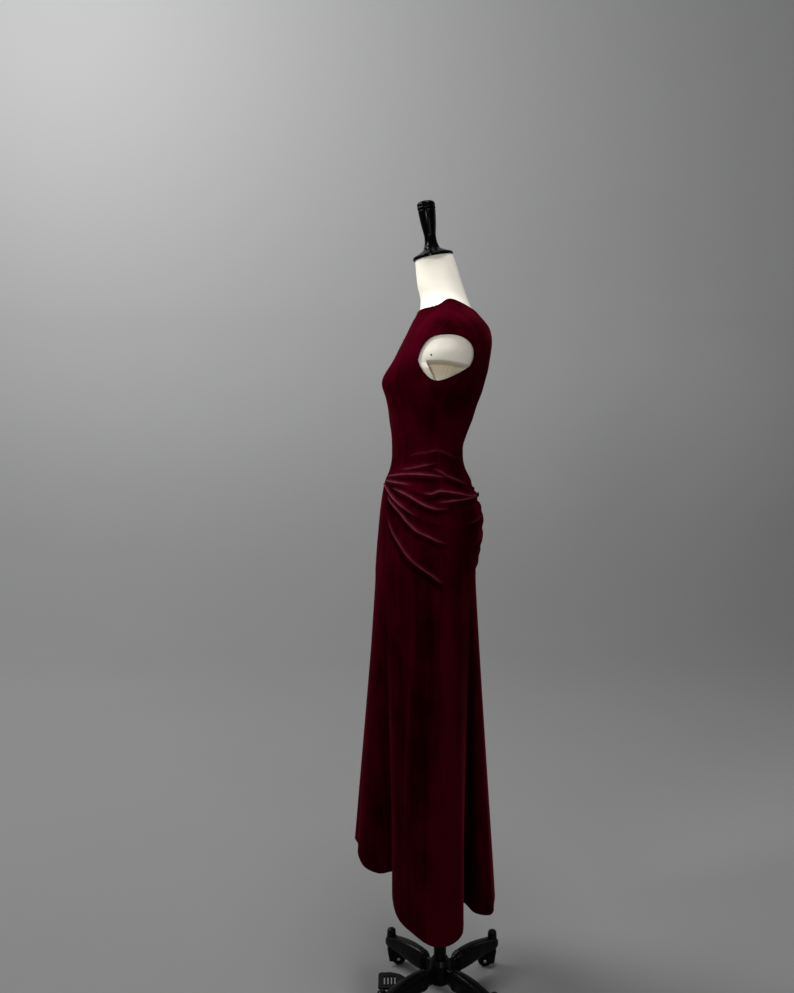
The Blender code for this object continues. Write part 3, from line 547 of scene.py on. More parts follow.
# Each fold is a crest line: its (angle, height) points; how far it stands out and its widths above and below
# the crest, in mm; the angles over which it rises and dies out; the span over which its crest is sharp and
# carries a painted highlight; and how strongly.
swagFolds = {
    "waistArc": (((50, 1.4080), (60, 1.4155), (73, 1.4197), (87, 1.4247), (102, 1.4147), (124, 1.3957)),
                 1.2, 8, 6, 14, 24, (58, 106), 0.30),
    "firstTuck": (((8, 1.3570), (42, 1.3777), (56, 1.3817), (77, 1.3917), (98, 1.3990)),
                  2.4, 5, 4, 14, 30, (54, 76), 0.55),
    "topRoll": (((6, 1.3545), (25, 1.3592), (51, 1.3677), (66, 1.3690), (82, 1.3667), (97, 1.3622),
                 (112, 1.3560)), 4.8, 8, 5.0, 10, 32, (26, 84), 1.00),
    "shortTuck": (((6, 1.3500), (35, 1.3480), (48, 1.3468), (66, 1.3437)), 3.6, 6, 4, 10, 18, (24, 54), 0.90),
    "wideRoll": (((14, 1.3465), (35, 1.3430), (55, 1.3357), (71, 1.3287), (82, 1.3250), (90, 1.3312),
                  (105, 1.3262), (124, 1.3160), (150, 1.3125), (177, 1.3112)),
                 5.6, 9, 5.0, 12, 10, (84, 158), 1.00),
    "lowerRoll": (((26, 1.3405), (48, 1.3300), (62, 1.3187), (72, 1.3057), (81, 1.2957), (90, 1.2912),
                   (103, 1.2940), (122, 1.2990)), 5.8, 8, 4.5, 16, 34, (50, 82), 1.00),
    "innerRoll": (((80, 1.3050), (90, 1.3067), (104, 1.3097), (123, 1.3107), (147, 1.3092), (176, 1.3085)),
                  3.2, 6, 4.5, 14, 12, (98, 156), 0.85),
    "longFold": (((8, 1.3430), (30, 1.3297), (46, 1.3087), (59, 1.2907), (69, 1.2767), (80, 1.2650),
                  (94, 1.2570), (112, 1.2520)), 5.0, 10, 5.0, 8, 44, (12, 56), 1.00),
    "steepFold": (((20, 1.3320), (38, 1.3060), (54, 1.2807), (63, 1.2596), (72, 1.2406), (81, 1.2296),
                   (89, 1.2186), (97, 1.2130), (104, 1.2100)), 4.4, 9, 4.5, 18, 20, (40, 84), 0.95),
    "lastFold": (((34, 1.2780), (46, 1.2400), (57, 1.2076), (62, 1.1906), (69, 1.1716), (76, 1.1566),
                  (84, 1.1406), (90, 1.1270), (95, 1.1200)), 4.2, 11, 5.0, 16, 7, (42, 84), 0.80),
    "backTuck": (((80, 1.3850), (92, 1.3737), (98, 1.3647), (107, 1.3567), (117, 1.3487), (138, 1.3370)),
                 3.6, 8, 4.5, 12, 24, (90, 116), 0.70),
    "seatSoft": (((102, 1.2490), (120, 1.2560), (150, 1.2620), (178, 1.2650)),
                 4.2, 11, 7, 34, 8, (124, 170), 0.40),
    "seatLow": (((108, 1.1910), (130, 1.2050), (155, 1.2180), (178, 1.2230)),
                3.6, 12, 8, 34, 8, (130, 170), 0.35),
}
swagShape = {  # lengths in mm, heights in metres, angles in degrees
    "broadShare": 0.62,  # of a fold's lift that is its soft body; the rest is its crisp crest
    "crestLift": 1.9, "crestHalf": 2.0, "crestRadius": 2.2,
    "leastWidth": 0.42, "widensFrom": 4, "widensTo": 40,  # folds are narrow where they meet at the front
    "dipBelow": 2.2, "dipHalf": 1.4, "hollowShare": 0.40,  # a fold's hollow, in its widths below the crest
    "brightIn": (-14, 4), "brightOut": (-4, 18),  # over which the crest turns sharp and soft again
    # where the painted highlight lies on each crest, its width, a wider faint halo of painted highlight, and
    # how much it varies along the crest
    "highlightAt": 0.5, "highlightHalf": 1.10, "highlightHaloAt": 1.5, "highlightHaloHalf": 4.2, "glow": 0.22, "flicker": 0.18,
    # painted shade: how dark the hollow under each fold is painted, less where the crest is soft and where the
    # fold stands out little
    "shade": 0.75, "softShade": 0.35, "fullShadeLift": 4.0,  # a fold with less lift than this is shaded less
    "meanRadius": 150.0, "seatHalf": 15.0,  # the folds die out at the centre back
    "variedTurn": 2.0, "variedRise": 2.6, "variedLift": 0.16,  # how far the hidden side's folds differ
    # along the centre-back seam: height, lift
    "gathers": ((1.1000, 0.0), (1.1200, 0.3), (1.1356, 1.0), (1.1480, 4.2), (1.1600, 3.0), (1.1732, 4.4),
                (1.1850, 3.2), (1.1982, 5.1), (1.2157, 5.8), (1.2294, 2.6), (1.2438, 6.2), (1.2585, 6.4),
                (1.2709, 4.2), (1.2833, 6.4), (1.2935, 0.6), (1.3020, 3.4), (1.3163, 2.2), (1.3220, 2.0),
                (1.3274, 5.0), (1.3306, 1.6), (1.3380, 1.8), (1.3471, 3.2), (1.3600, 2.0), (1.3750, 0.0)),
    "gatherReach": 20.0, "gatherUneven": 0.35,
    "knot": (1.3112, 3.36, 6.0, 7.0),  # of cloth at the button: height, lift, half height, half width
}


# A ridge: exp(-(sqrt(d^2 + r^2) - r) / w), rounded at its crest by r and wider above than below.
def ridge(distance, above, below, crest):
    width = np.where(distance > 0, above, below)
    return np.exp(-(np.sqrt(distance**2 + crest**2) - crest) / width)


# A fold of the hidden side is like the one that shows, turned, raised and deepened by sines of its number.
def variedFold(angles, heights, lift, index):
    angles = angles + swagShape["variedTurn"] * math.sin(1.7 * index + 0.4)
    rise = swagShape["variedRise"] * mm * math.sin(2.3 * index + 1.1)
    heights = heights + rise * softStep(angles, 15, 60)
    return angles, heights, lift * (1 + swagShape["variedLift"] * math.sin(3.1 * index))


# How far a point lies above a crest line, square to it: the difference in height times the cosine of its slope.
def aboveCrest(angle, height, angles, heights):
    degrees = np.arange(0, 181.0)
    degreeLength = math.radians(1) * swagShape["meanRadius"] * mm
    slope = np.gradient(smoothCurve(degrees, angles, heights)) / degreeLength
    return (height - smoothCurve(angle, angles, heights)) / np.sqrt(1 + np.interp(angle, degrees, slope) ** 2)


# How far the swag stands out at an angle and height, how strong its painted highlight is and how much painted
# shade it gets: for each fold a soft ridge with a hollow under it, a bell for its crisp crest, a painted
# highlight along the crest and painted shade in the hollow; then the centre-back gathers.
def swagLift(angle, height, mirror):
    look = swagShape
    total = np.zeros(np.broadcast(angle, height).shape)
    paintedHighlight, shade = np.zeros_like(total), np.zeros_like(total)
    back = 180 - angle
    least, softShade = look["leastWidth"], look["softShade"]
    narrow = least + (1 - least) * softStep(angle, look["widensFrom"], look["widensTo"])
    for index, (line, lift, above, below, rise, fade, bright, crestAndHighlight) in enumerate(swagFolds.values()):
        angles, heights = np.array(line, float).T
        if mirror:
            angles, heights, lift = variedFold(angles, heights, lift, index)
        distance = aboveCrest(angle, height, angles, heights)
        alive = softWindow(angle, angles[0] - 1, angles[0] + rise, angles[-1] - fade, angles[-1] + 1)
        crisp = softWindow(angle, bright[0] + look["brightIn"][0], bright[0] + look["brightIn"][1],
                           bright[1] + look["brightOut"][0], bright[1] + look["brightOut"][1])
        above, below = above * mm * narrow, below * mm * narrow
        soft = ridge(distance, above, below, look["crestRadius"] * mm * narrow)
        dip = bell(distance + look["dipBelow"] * below, look["dipHalf"] * below)
        bead = bell(distance, look["crestHalf"] * mm * (0.5 + 0.5 * narrow))
        body = lift * (soft - look["hollowShare"] * dip) * look["broadShare"] * (0.6 + 0.4 * narrow)
        total += alive * mm * (body + crisp * crestAndHighlight * look["crestLift"] * bead * (0.55 + 0.45 * narrow))
        crestHighlight = bell(distance - look["highlightAt"] * mm, look["highlightHalf"] * mm)
        glow = look["glow"] * bell(distance - look["highlightHaloAt"] * mm, look["highlightHaloHalf"] * mm)
        waver = np.sin(angle * 0.42 + 2.1 * index) * np.sin(angle * 0.17 + index)
        flicker = 1 - look["flicker"] + look["flicker"] * waver
        paintedHighlight = np.maximum(paintedHighlight, alive * crisp * crestAndHighlight * np.maximum(crestHighlight, glow) * flicker)
        strength = look["shade"] * min(1.0, lift / look["fullShadeLift"])
        shade = np.maximum(shade, alive * (softShade + (1 - softShade) * crisp) * dip * strength)
    seat = 1 - bell(back, look["seatHalf"])
    total, paintedHighlight, shade = total * seat, paintedHighlight * seat, shade * (1 - paintedHighlight) * seat
    phase = 1 if mirror else 0  # moves the gathers' unevenness on the hidden side
    drift = 0.00035 * back * np.sin(height * 90 + 2 * phase)
    reach = look["gatherReach"] * (1 + look["gatherUneven"] * np.sin(height * 210 + phase))
    total += tableValue(height + drift, look["gathers"], 1) * mm * bell(back, reach)
    level, lift, halfHeight, halfWidth = look["knot"]
    total += lift * mm * bell(height - level, halfHeight * mm) * bell(back, halfWidth)
    return total, paintedHighlight, shade


drape = {  # soft upright waves of the hanging cloth: angle, half width in degrees, lift at the hem in mm
    "waves": ((-160, 8, 3), (-112, 7, 4), (-82, 7, 5), (-58, 8, -3), (-24, 7, 4), (22, 6, 4), (74, 9, -3),
              (92, 7, 4), (104, 4, 2), (112, 5, -3), (150, 9, 2)),
    "start": 1.16, "run": 0.80, "growth": 1.1, "wander": 1.2,
}


# Upright waves that grow from the hip to the hem and wander a little on the way.
def drapeLift(angle, height):
    grow = np.clip((drape["start"] - height) / drape["run"], 0, 1) ** drape["growth"]
    total = np.zeros(np.broadcast(angle, height).shape)
    for middle, spread, lift in drape["waves"]:
        wander = drape["wander"] * np.sin(height * 5 + middle)
        total += lift * mm * bell(angle - middle - wander, spread)
    return total * grow


# each band's lean is partly the pile brushed lighter or darker and partly painted light and shade
napAndLightBands = (  # angle, half width in degrees, lean of the pile, and the heights where the band starts and ends
    (95.5, 5.0, 1.5, 1.10, 0.26), (79, 6.5, -0.9, 1.04, 0.62), (68, 1.4, 0.8, 1.13, 0.58),
    (88, 3.2, 0.9, 0.60, 0.26), (86, 6.0, -0.5, 1.58, 1.46), (103, 9, -0.9, 1.57, 1.50),
    (129, 8.0, -2.2, 1.14, 0.20), (60, 6.0, -0.5, 0.85, 0.40), (40, 6.0, -0.5, 0.95, 0.45),
    (88, 20, -0.7, 1.725, 1.690), (66, 8, 0.2, 1.74, 1.60), (22, 7.0, 0.5, 1.10, 0.60),
    (148, 8.0, 0.6, 1.15, 0.45), (168, 6.0, -0.5, 1.20, 0.60), (-94, 6.0, 0.8, 1.08, 0.30),
    (-77, 7.0, -0.7, 1.00, 0.55), (-62, 2.0, 0.6, 1.12, 0.60), (-108, 5.0, -0.9, 1.05, 0.30),
    (-25, 7.0, 0.5, 1.08, 0.55), (-150, 7.0, 0.5, 1.10, 0.45), (-88, 20, -0.6, 1.725, 1.690),
    (-62, 10, 0.5, 1.74, 1.60),
)
napEdge, napWander = 0.25, 0.8  # share of a band's length over which it ends; how far it wanders, in degrees


# How the pile leans, with painted light and shade: upright bands, partly the pile brushed lighter or darker and
# partly painted light where a fold turns towards the lamps and painted shade where it turns away, each with
# soft sides and ends. A lean below -1 is a valley in painted shadow.
def napAndPaintedLight(angle, height):
    total = np.zeros(np.broadcast(angle, height).shape)
    for middle, spread, amount, top, bottom in napAndLightBands:
        soft = napEdge * (top - bottom)
        ends = softWindow(height, bottom - soft, bottom + soft, top - soft, top + soft)
        wander = napWander * np.sin(height * 9 + middle)
        total += amount * ends * bell(angle - middle - wander, spread)
    return total


# The swag on both sides of an outline: the wearer's left as given, the right as its varied mirror, blended
# over a few degrees at the centre front and back.
def bothSides(angle, height):
    left, right = swagLift(np.abs(angle), height, False), swagLift(np.abs(angle), height, True)
    share = 0.5 + 0.5 * np.sign(angle) * softStep(np.abs(angle), 0, 6) * softStep(180 - np.abs(angle), 0, 8)
    return [a * share + b * (1 - share) for a, b in zip(left, right)]


# A skirt panel between two sewn edges: angle by columns, height from the hem to the waist seam by rows, which
# are close together at the hem and in the swag.
def skirtPanel(name, firstEdge, lastEdge, columns, flat, area):
    hemShare = skirt["hemShare"]
    fall = np.concatenate([1 - np.linspace(0, hemShare, skirt["hemRows"]),
                           np.linspace(1 - hemShare, 0, skirt["fallRows"])[1:]])
    swag = np.linspace(1, 0, skirt["swagRows"])[1:]
    isFall = np.concatenate([np.ones(len(fall), bool), np.zeros(len(swag), bool)])[:, None]
    down = np.concatenate([fall, swag])[:, None]
    gore = skirt["goreTop"] + (skirt["goreHem"] - skirt["goreTop"]) * np.where(isFall, down, 0.0)
    first, last = (degrees + share * gore for degrees, share in (firstEdge, lastEdge))
    angle = first + (last - first) * panelColumns(columns)[None, :]
    waist = tableValue(np.abs(angle), skirt["waist"], 1)
    end = tableValue(np.abs(angle), skirt["swagEnd"], 1)
    hem = tableValue(angle, skirt["hemFolds"], 2)
    height = np.where(isFall, end + (hem - end) * down, waist + (end - waist) * down)
    points, normals = skirtOutline(angle, height), outlineNormals(skirtOutline, angle, height)
    fromEdge = edgeDistance(points)
    lift, paintedHighlight, shade = bothSides(angle, height)
    lift = lift + drapeLift(angle, height) - seamDip(fromEdge) - seamDip(waist - height)
    outer = points + normals * lift[..., None]
    nap = napAndPaintedLight(angle, height)
    # bands leaning below -1 also get painted shadow
    shade = np.maximum(shade, np.clip(-nap - 1, 0, 1) * skirt["valleyShade"])
    mesh = clothShell(name, outer, {"paintedHighlight": paintedHighlight, "shade": shade, "nap": nap})
    piece = addPiece(name, mesh, (velvetFace, velvetInside), "dressed_form", (frameName(name),))


# First and last edge as (degrees, share of the gore's half width), columns, flat cut (width, length), its area.
skirtPanels = {
    "skirtFront": ((0, -1), (0, 1), skirt["goreColumns"], (0.24, 0.98), 0.125),
    "skirtSideLeft": ((0, 1), (90, 0), skirt["sideColumns"], (0.46, 1.14), 0.330),
    "skirtBackLeft": ((90, 0), (180, 0), skirt["backColumns"], (0.46, 1.20), 0.360),
    "skirtBackRight": ((-180, 0), (-90, 0), skirt["backColumns"], (0.46, 1.20), 0.360),
    "skirtSideRight": ((-90, 0), (0, -1), skirt["sideColumns"], (0.46, 1.14), 0.330),
}
for name, settings in skirtPanels.items():
    skirtPanel(name, *settings)
print("skirt panels made")


bodice = {
    "neckline": ((0, 1.7475), (30, 1.7525), (50, 1.7562), (62, 1.7580), (70, 1.7606), (76, 1.7652),
                 (84, 1.7740), (90, 1.7780), (95, 1.7790), (100, 1.7783), (105, 1.7762), (110, 1.7728),
                 (117, 1.7668), (126, 1.7598), (138, 1.7537), (150, 1.7480), (180, 1.7410)),
    "underarm": 1.586, "capEdge": 1.688, "holeFront": 19.6, "holeBack": 23.6,
    # how the armhole opens from its point, its widest place, and its round top
    "lowFront": 0.52, "lowBack": 0.60, "wideFront": 0.43, "wideBack": 0.32, "capFront": 2.5, "capBack": 2.05,
    "lowerRows": 76, "holeRows": 56, "yokeRows": 44, "columns": 112,
    "capHem": 7.0 * mm, "capHemLift": 0.9 * mm, "capRadius": 52 * mm,
    "neckGathers": ((63, 74), 0.7 * mm, 26 * mm), "neckWaves": 2.6,  # between these angles: depth, length
    # drag lines: depth, width in degrees, length, middle above the waist seam, reach
    "drag": (0.5 * mm, 11.0, 30 * mm, 30 * mm, 40 * mm),
}


# Half width of the armhole at a share of its height: it opens as a power of the height up to its widest place,
# and closes above it as a superellipse of power cap.
def holeSpread(share, low, wide, cap):
    opening = (np.clip(share, 0, wide) / wide) ** low
    closing = (1 - np.clip((share - wide) / (1 - wide), 0, 1) ** cap) ** (1 / cap)
    return np.where(share < wide, opening, closing)


# A hem turned round the cap's edge, which is (x^p + t^p)^(1/p) = 1, tiny gathers at the neckline, and soft
# drag lines above the waist.
def bodiceLift(angle, height, rise, fromTop):
    side = np.abs(angle)
    across = np.abs(side - 90) / np.where(side < 90, bodice["holeFront"], bodice["holeBack"])
    wide = np.where(side < 90, bodice["wideFront"], bodice["wideBack"])
    middle = bodice["underarm"] + wide * (bodice["capEdge"] - bodice["underarm"])
    up = np.clip((height - middle) / (bodice["capEdge"] - middle), 0, None)
    power = np.where(side < 90, bodice["capFront"], bodice["capBack"])
    outside = ((across**power + up**power) ** (1 / power) - 1) * bodice["capRadius"]
    band = softWindow(outside, -1 * mm, 1 * mm, bodice["capHem"], bodice["capHem"] + 1.2 * mm)
    lift = bodice["capHemLift"] * band * softStep(height, middle, middle + 15 * mm)
    (start, end), depth, length = bodice["neckGathers"]
    waves = np.sin((side - start) * bodice["neckWaves"])
    waves *= softWindow(side, start - 3, start + 2, end - 2, end + 3)
    lift = lift + depth * waves * bell(fromTop, length)
    depth, width, length, level, reach = bodice["drag"]
    drag = softNoise(side / width, height / length, 5) * bell(rise - level, reach) * softStep(rise, 0, 20 * mm)
    return lift + depth * drag


# A bodice half from the waist seam to the neckline, parted at both sides by the armholes.
def bodicePanel(name, first, last, holeAngle):
    lower = np.linspace(0, 1, bodice["lowerRows"], endpoint=False)  # below the armholes, beside them, and above
    hole = (1 - np.cos(math.pi * np.arange(bodice["holeRows"]) / bodice["holeRows"])) / 2
    yoke = np.linspace(0, 1, bodice["yokeRows"])
    zone = np.concatenate([0 * lower, 0 * hole + 1, 0 * yoke + 2])[:, None]
    share = np.concatenate([lower, hole, yoke])[:, None]
    half = "Front" if first < 0 else "Back"
    spread = holeSpread(share, bodice["low" + half], bodice["wide" + half], bodice["cap" + half])
    spread = np.where(zone == 1, spread, 0.0) * holeAngle
    start, end = first + spread, last - spread
    angle = start + (end - start) * panelColumns(bodice["columns"])[None, :]
    turned = np.where(angle > 180, angle - 360, angle)
    waist = tableValue(np.abs(turned), skirt["waist"], 1)
    neckLine = tableValue(np.abs(turned), bodice["neckline"], 1)
    underarm, cap = bodice["underarm"], bodice["capEdge"]
    height = np.where(zone == 0, waist + (underarm - waist) * share,
                      np.where(zone == 1, underarm + (cap - underarm) * share, cap + (neckLine - cap) * share))
    points, normals = bodyOutline(turned, height), outlineNormals(bodyOutline, turned, height)
    swag, paintedHighlight, shade = bothSides(turned, height)
    lift = bodiceLift(turned, height, height - waist, neckLine - height) + swag
    lift = lift - seamDip(edgeDistance(points)) * (zone != 1) - seamDip(height - waist)
    outer = points + normals * lift[..., None]
    mesh = clothShell(name, outer, {"paintedHighlight": paintedHighlight, "shade": shade, "nap": napAndPaintedLight(turned, height)})
    piece = addPiece(name, mesh, (velvetFace, velvetInside), "dressed_form", (frameName(name),))


form = {
    "gap": 5.2 * mm,  # from the dress's outer face to the cover
    "bottom": 1.190, "neckStart": 1.790, "neckTop": 1.8816, "neckLean": math.radians(10.5), "neckY": -0.0160,
    "coarse": 3.0, "fine": 0.45, "fineFrom": 69.0, "fineTo": 105.0,  # degrees between columns
    "stubCut": 1.6270, "cutDrop": 9 * mm,  # height of the cut in front, and how far it falls to the back
    "hollowEnd": 1.560, "hollowDepth": 22 * mm, "hollowBack": (104, 120), "roofSoft": (-4.0 * mm, 8.5 * mm),
    "flange": (76.9, 262.0, 0.8),  # its edge at the cut in degrees, degrees per metre below it, and softness
    "flangeStand": 6 * mm,
    "creases": ((88.0, 1.3), (90.2, 1.0), (92.0, 1.5), (95.0, 1.0), (99.0, 0.8)),  # angle, lift in mm
    "creaseHalf": 0.6, "creaseFrom": (1.575, 1.610), "liningShadePower": 0.8,
}


# Shuts the first and last rows of a wrapped grid with rings that shrink to their middles, and a lid of quads.
def closeEnds(grid, shares=(0.985, 0.7, 0.35, 0.02)):
    rows, columns = grid.shape[:2]
    points, faces = [grid.reshape(-1, 3)], [gridQuads(rows, columns, wrap=True)]
    count = rows * columns
    i = np.arange(columns // 2 - 1)
    for ring, base, flip in ((grid[0], 0, True), (grid[-1], (rows - 1) * columns, False)):
        previous = np.arange(columns) + base
        for share in shares:
            points.append(ring.mean(0) + (ring - ring.mean(0)) * share)
            current = np.arange(columns) + count
            count += columns
            band = np.stack([previous, np.roll(previous, -1), np.roll(current, -1), current], axis=-1)
            faces.append(band[:, ::-1] if flip else band)
            previous = current
        last = columns - 1 - i
        lid = np.stack([previous[i], previous[i + 1], previous[last - 1], previous[last]], axis=-1)
        faces.append(lid[:, ::-1] if flip else lid)
    return np.concatenate(points), np.concatenate(faces)


# Rows and columns of the form's grid, close together where the stubs are cut.
def formGrid():
    start, end, cut, neckStart = form["fineFrom"], form["fineTo"], form["stubCut"], form["neckStart"]
    half = np.concatenate([np.arange(0, start, form["coarse"]), np.arange(start, end, form["fine"]),
                           np.arange(end, 180, form["coarse"])])
    spans = ((form["bottom"], 1.540, 36), (1.545, cut - 15 * mm, 40), (cut - 14 * mm, cut + 3 * mm, 36),
             (cut + 5 * mm, neckStart, 56), (neckStart + 3.5 * mm, form["neckTop"], 26))
    levels = np.concatenate([np.linspace(*span) for span in spans])
    return np.concatenate([-half[:0:-1], half, [180.0]])[None, :], levels[:, None]


# How far the cover is drawn into the hollow under the cut, and how far it stands out in front of it as a
# flange, whose edge runs down and back to the hollow's lower end.
def stubHollow(side, height):
    cut, end = form["stubCut"], form["hollowEnd"]
    start, slope, soft = form["flange"]
    front = start + (cut - height) * slope
    cutLine = cut - form["cutDrop"] * softStep(side, 86, 114)
    under = np.clip((height - end) / (cut - end), 0, 1)
    inside = softWindow(side, front, front + soft, *form["hollowBack"])
    hollow = form["hollowDepth"] * under * softStep(cutLine - height, *form["roofSoft"]) * inside
    stand = softWindow(side, front - 8, front - 1, front, front + soft)
    stand *= softStep(height, end + 14 * mm, end + 40 * mm) * softStep(cut - height, 0, 16 * mm)
    return hollow, stand * form["flangeStand"]


# The padded form: the dress's outline drawn in by a gap, with a stub cut off above a hollow on each side, and
# above the shoulders a neck whose rows tilt until they lie along its slanted top.
def makeForm():
    angle, levels = formGrid()
    height = levels + 0 * angle
    side = np.abs(angle) + 0 * height
    hollow, stand = stubHollow(side, height)
    skin = bodyOutline(angle, height) - outlineNormals(bodyOutline, angle, height) * form["gap"]
    outward = np.sign(skin[..., 0])
    skin[..., 0] += outward * (stand - hollow)
    # how far into the hollow: it mixes the cover towards the tan, deeper as the hollow deepens, partly lining
    # and partly painted shade, and raises the creases
    recess = np.clip(hollow / form["hollowDepth"], 0, 1) ** form["liningShadePower"]
    creased = recess * softStep(height, *form["creaseFrom"])
    for crease, lift in form["creases"]:
        skin[..., 0] += outward * lift * mm * bell(side - crease, form["creaseHalf"]) * creased
    above = np.clip((levels - form["neckStart"]) / (form["neckTop"] - form["neckStart"]), 0, 1)
    skin[..., 2] = height + (skin[..., 2] - height) * (1 - above)
    skin[..., 2] += above * math.tan(form["neckLean"]) * (skin[..., 1] - form["neckY"])
    skin[0, :, 2] = form["bottom"]
    points, quads = closeEnds(skin)
    liningAndShade = np.zeros(len(points))
    liningAndShade[:recess.size] = recess.ravel()
    mesh = meshFromQuads("formCover", points, quads, attributes={"liningAndShade": liningAndShade}, sharpAngle=75)
    addPiece("formCover", mesh, (ivoryCover,), "dressed_form", ("form_torso",))


# A shallow dome over a foot point: radius * cos b round it and rise * sin b out of it. It stops a small angle
# short of its top, where closeEnds shuts it.
def domeGrid(foot, sideways, upright, normal, radius, rise, rings=9, columns=20, short=0.02):
    bend = np.linspace(0, math.pi / 2 - short, rings)[:, None, None]
    turn = np.linspace(0, 2 * math.pi, columns, endpoint=False)[None, :, None]
    around = np.cos(turn) * sideways + np.sin(turn) * upright
    return foot + radius * np.cos(bend) * around + rise * np.sin(bend) * normal


pin = {"angle": 79.8, "height": 1.6420, "radius": 2.3 * mm, "rise": 0.6 * 2.3 * mm, "sunk": 0.4 * mm}


# A small dark pin head on each stub.
def makePins():
    at, level = np.array([[pin["angle"]]]), np.array([[pin["height"]]])
    normal = outlineNormals(bodyOutline, at, level)[0, 0]
    foot = bodyOutline(at, level)[0, 0] - normal * (form["gap"] + pin["sunk"])
    sideways = np.cross([0, 0, 1.0], normal)
    sideways /= np.linalg.norm(sideways)
    for name, sign in (("stubPinLeft", 1), ("stubPinRight", -1)):
        dome = domeGrid(foot, sideways, np.cross(normal, sideways), normal, pin["radius"], pin["rise"])
        dome[..., 0] *= sign
        points, quads = closeEnds(dome[:, ::sign], shares=(0.5, 0.05))
        mesh = meshFromQuads(name, points, quads, sharpAngle=60)
        addPiece(name, mesh, (blackBase,), "dressed_form")


makeForm()
makePins()
bodicePanel("bodiceFront", -90.0, 90.0, bodice["holeFront"])
bodicePanel("bodiceBack", 90.0, 270.0, bodice["holeBack"])
print("form and bodice made")


# A turned surface: profile (radius, height) carried round an axis that leans back by an angle.
def turnedGrid(profile, lean, foot, columns=96):
    radius, height = np.array(profile).T
    turn = np.linspace(0, 2 * math.pi, columns, endpoint=False)[None, :]
    x, y = radius[:, None] * np.cos(turn), radius[:, None] * np.sin(turn)
    z = height[:, None] + 0 * turn
    c, s = math.cos(lean), math.sin(lean)
    return np.stack([x + foot[0], y * c - z * s + foot[1], y * s + z * c + foot[2]], axis=-1)


# Points at equal steps along a profile, as a smooth curve through it.
def finerProfile(profile, steps):
    run = np.concatenate([[0], np.cumsum(np.hypot(*np.diff(np.array(profile), axis=0).T))])
    at = np.linspace(0, run[-1], steps)
    return np.stack([smoothCurve(at, run, [p[i] for p in profile]) for i in (0, 1)], axis=-1)


neck = {
    "plate": ((0.0480, 0.0), (0.0488, 0.0008), (0.0488, 0.0054), (0.0478, 0.0068), (0.0400, 0.0104),
              (0.0310, 0.0148), (0.0235, 0.0188), (0.0200, 0.0214)),
    "handle": ((0.0200, 0.0), (0.0202, 0.0015), (0.0192, 0.0060), (0.0170, 0.0120), (0.0152, 0.0190),
               (0.0143, 0.0270), (0.0142, 0.0340), (0.0152, 0.0430), (0.0169, 0.0540), (0.0183, 0.0640),
               (0.0194, 0.0740), (0.0202, 0.0840), (0.0208, 0.0905), (0.0212, 0.0925), (0.0210, 0.0940),
               (0.0199, 0.0952), (0.0202, 0.0962), (0.0215, 0.0975), (0.0219, 0.1000), (0.0217, 0.1018),
               (0.0208, 0.1030), (0.0214, 0.1044), (0.0219, 0.1064), (0.0216, 0.1092), (0.0203, 0.1122),
               (0.0172, 0.1148), (0.0108, 0.1163), (0.0010, 0.1168)),
    "handleLean": math.radians(7.6), "plateColumns": 112, "handleColumns": 80,
    "plateSteps": 40, "handleSteps": 120,
    "plateGap": 0.3 * mm,  # from the form's top to the plate
    "handleFoot": 0.0160 + 0.0006 + 0.0165 * math.sin(math.radians(4.0)),  # from the form's top to its foot
}
leanVector = np.array([0, -math.sin(form["neckLean"]), math.cos(form["neckLean"])])
seat = np.array([0, form["neckY"], form["neckTop"]])
plateGrid = turnedGrid(finerProfile(neck["plate"], neck["plateSteps"]), form["neckLean"],
                       seat + leanVector * neck["plateGap"], neck["plateColumns"])
handleGrid = turnedGrid(finerProfile(neck["handle"], neck["handleSteps"]), neck["handleLean"],
                        seat + leanVector * neck["handleFoot"], neck["handleColumns"])
for name, grid in (("neckPlate", plateGrid), ("neckHandle", handleGrid)):
    points, quads = closeEnds(grid)
    mesh = meshFromQuads(name, points, quads, sharpAngle=35)
    addPiece(name, mesh, (blackHandle,), "dressed_form", (frameName(name),))
print("neck plate and handle made")


leg = {
    "turn": -2.0, "reach": 0.195,
    "corners": (("FrontLeft", -45), ("BackLeft", 45), ("BackRight", 135), ("FrontRight", -135)),
    # distance from the pole, bottom, top, half width
    "stations": ((0.0240, 0.0455, 0.0885, 0.0085), (0.0440, 0.0450, 0.0880, 0.0090),
                 (0.0520, 0.0440, 0.0925, 0.0125), (0.0700, 0.0430, 0.0980, 0.0155),
                 (0.1000, 0.0440, 0.0985, 0.0175), (0.1300, 0.0470, 0.0960, 0.0175),
                 (0.1550, 0.0497, 0.0915, 0.0165), (0.1800, 0.0505, 0.0855, 0.0165),
                 (0.1980, 0.0508, 0.0815, 0.0155), (0.2080, 0.0530, 0.0760, 0.0110),
                 (0.2120, 0.0580, 0.0700, 0.0050)),
    "ribs": (0.0500, 0.0056, 3, 1.5 * mm),  # where they start, spacing, how many, depth
    "rows": 110, "columns": 40, "squareness": 2.7, "postSteps": 48, "postColumns": 32, "endRings": (0.6, 0.05),
    "post": ((0.0118, 0.0500), (0.0124, 0.0530), (0.0124, 0.0860), (0.0118, 0.0900), (0.0110, 0.0908),
             (0.0110, 0.0918), (0.0119, 0.0928), (0.0116, 0.0965), (0.0098, 0.1000), (0.0060, 0.1024),
             (0.0008, 0.1032)),
}


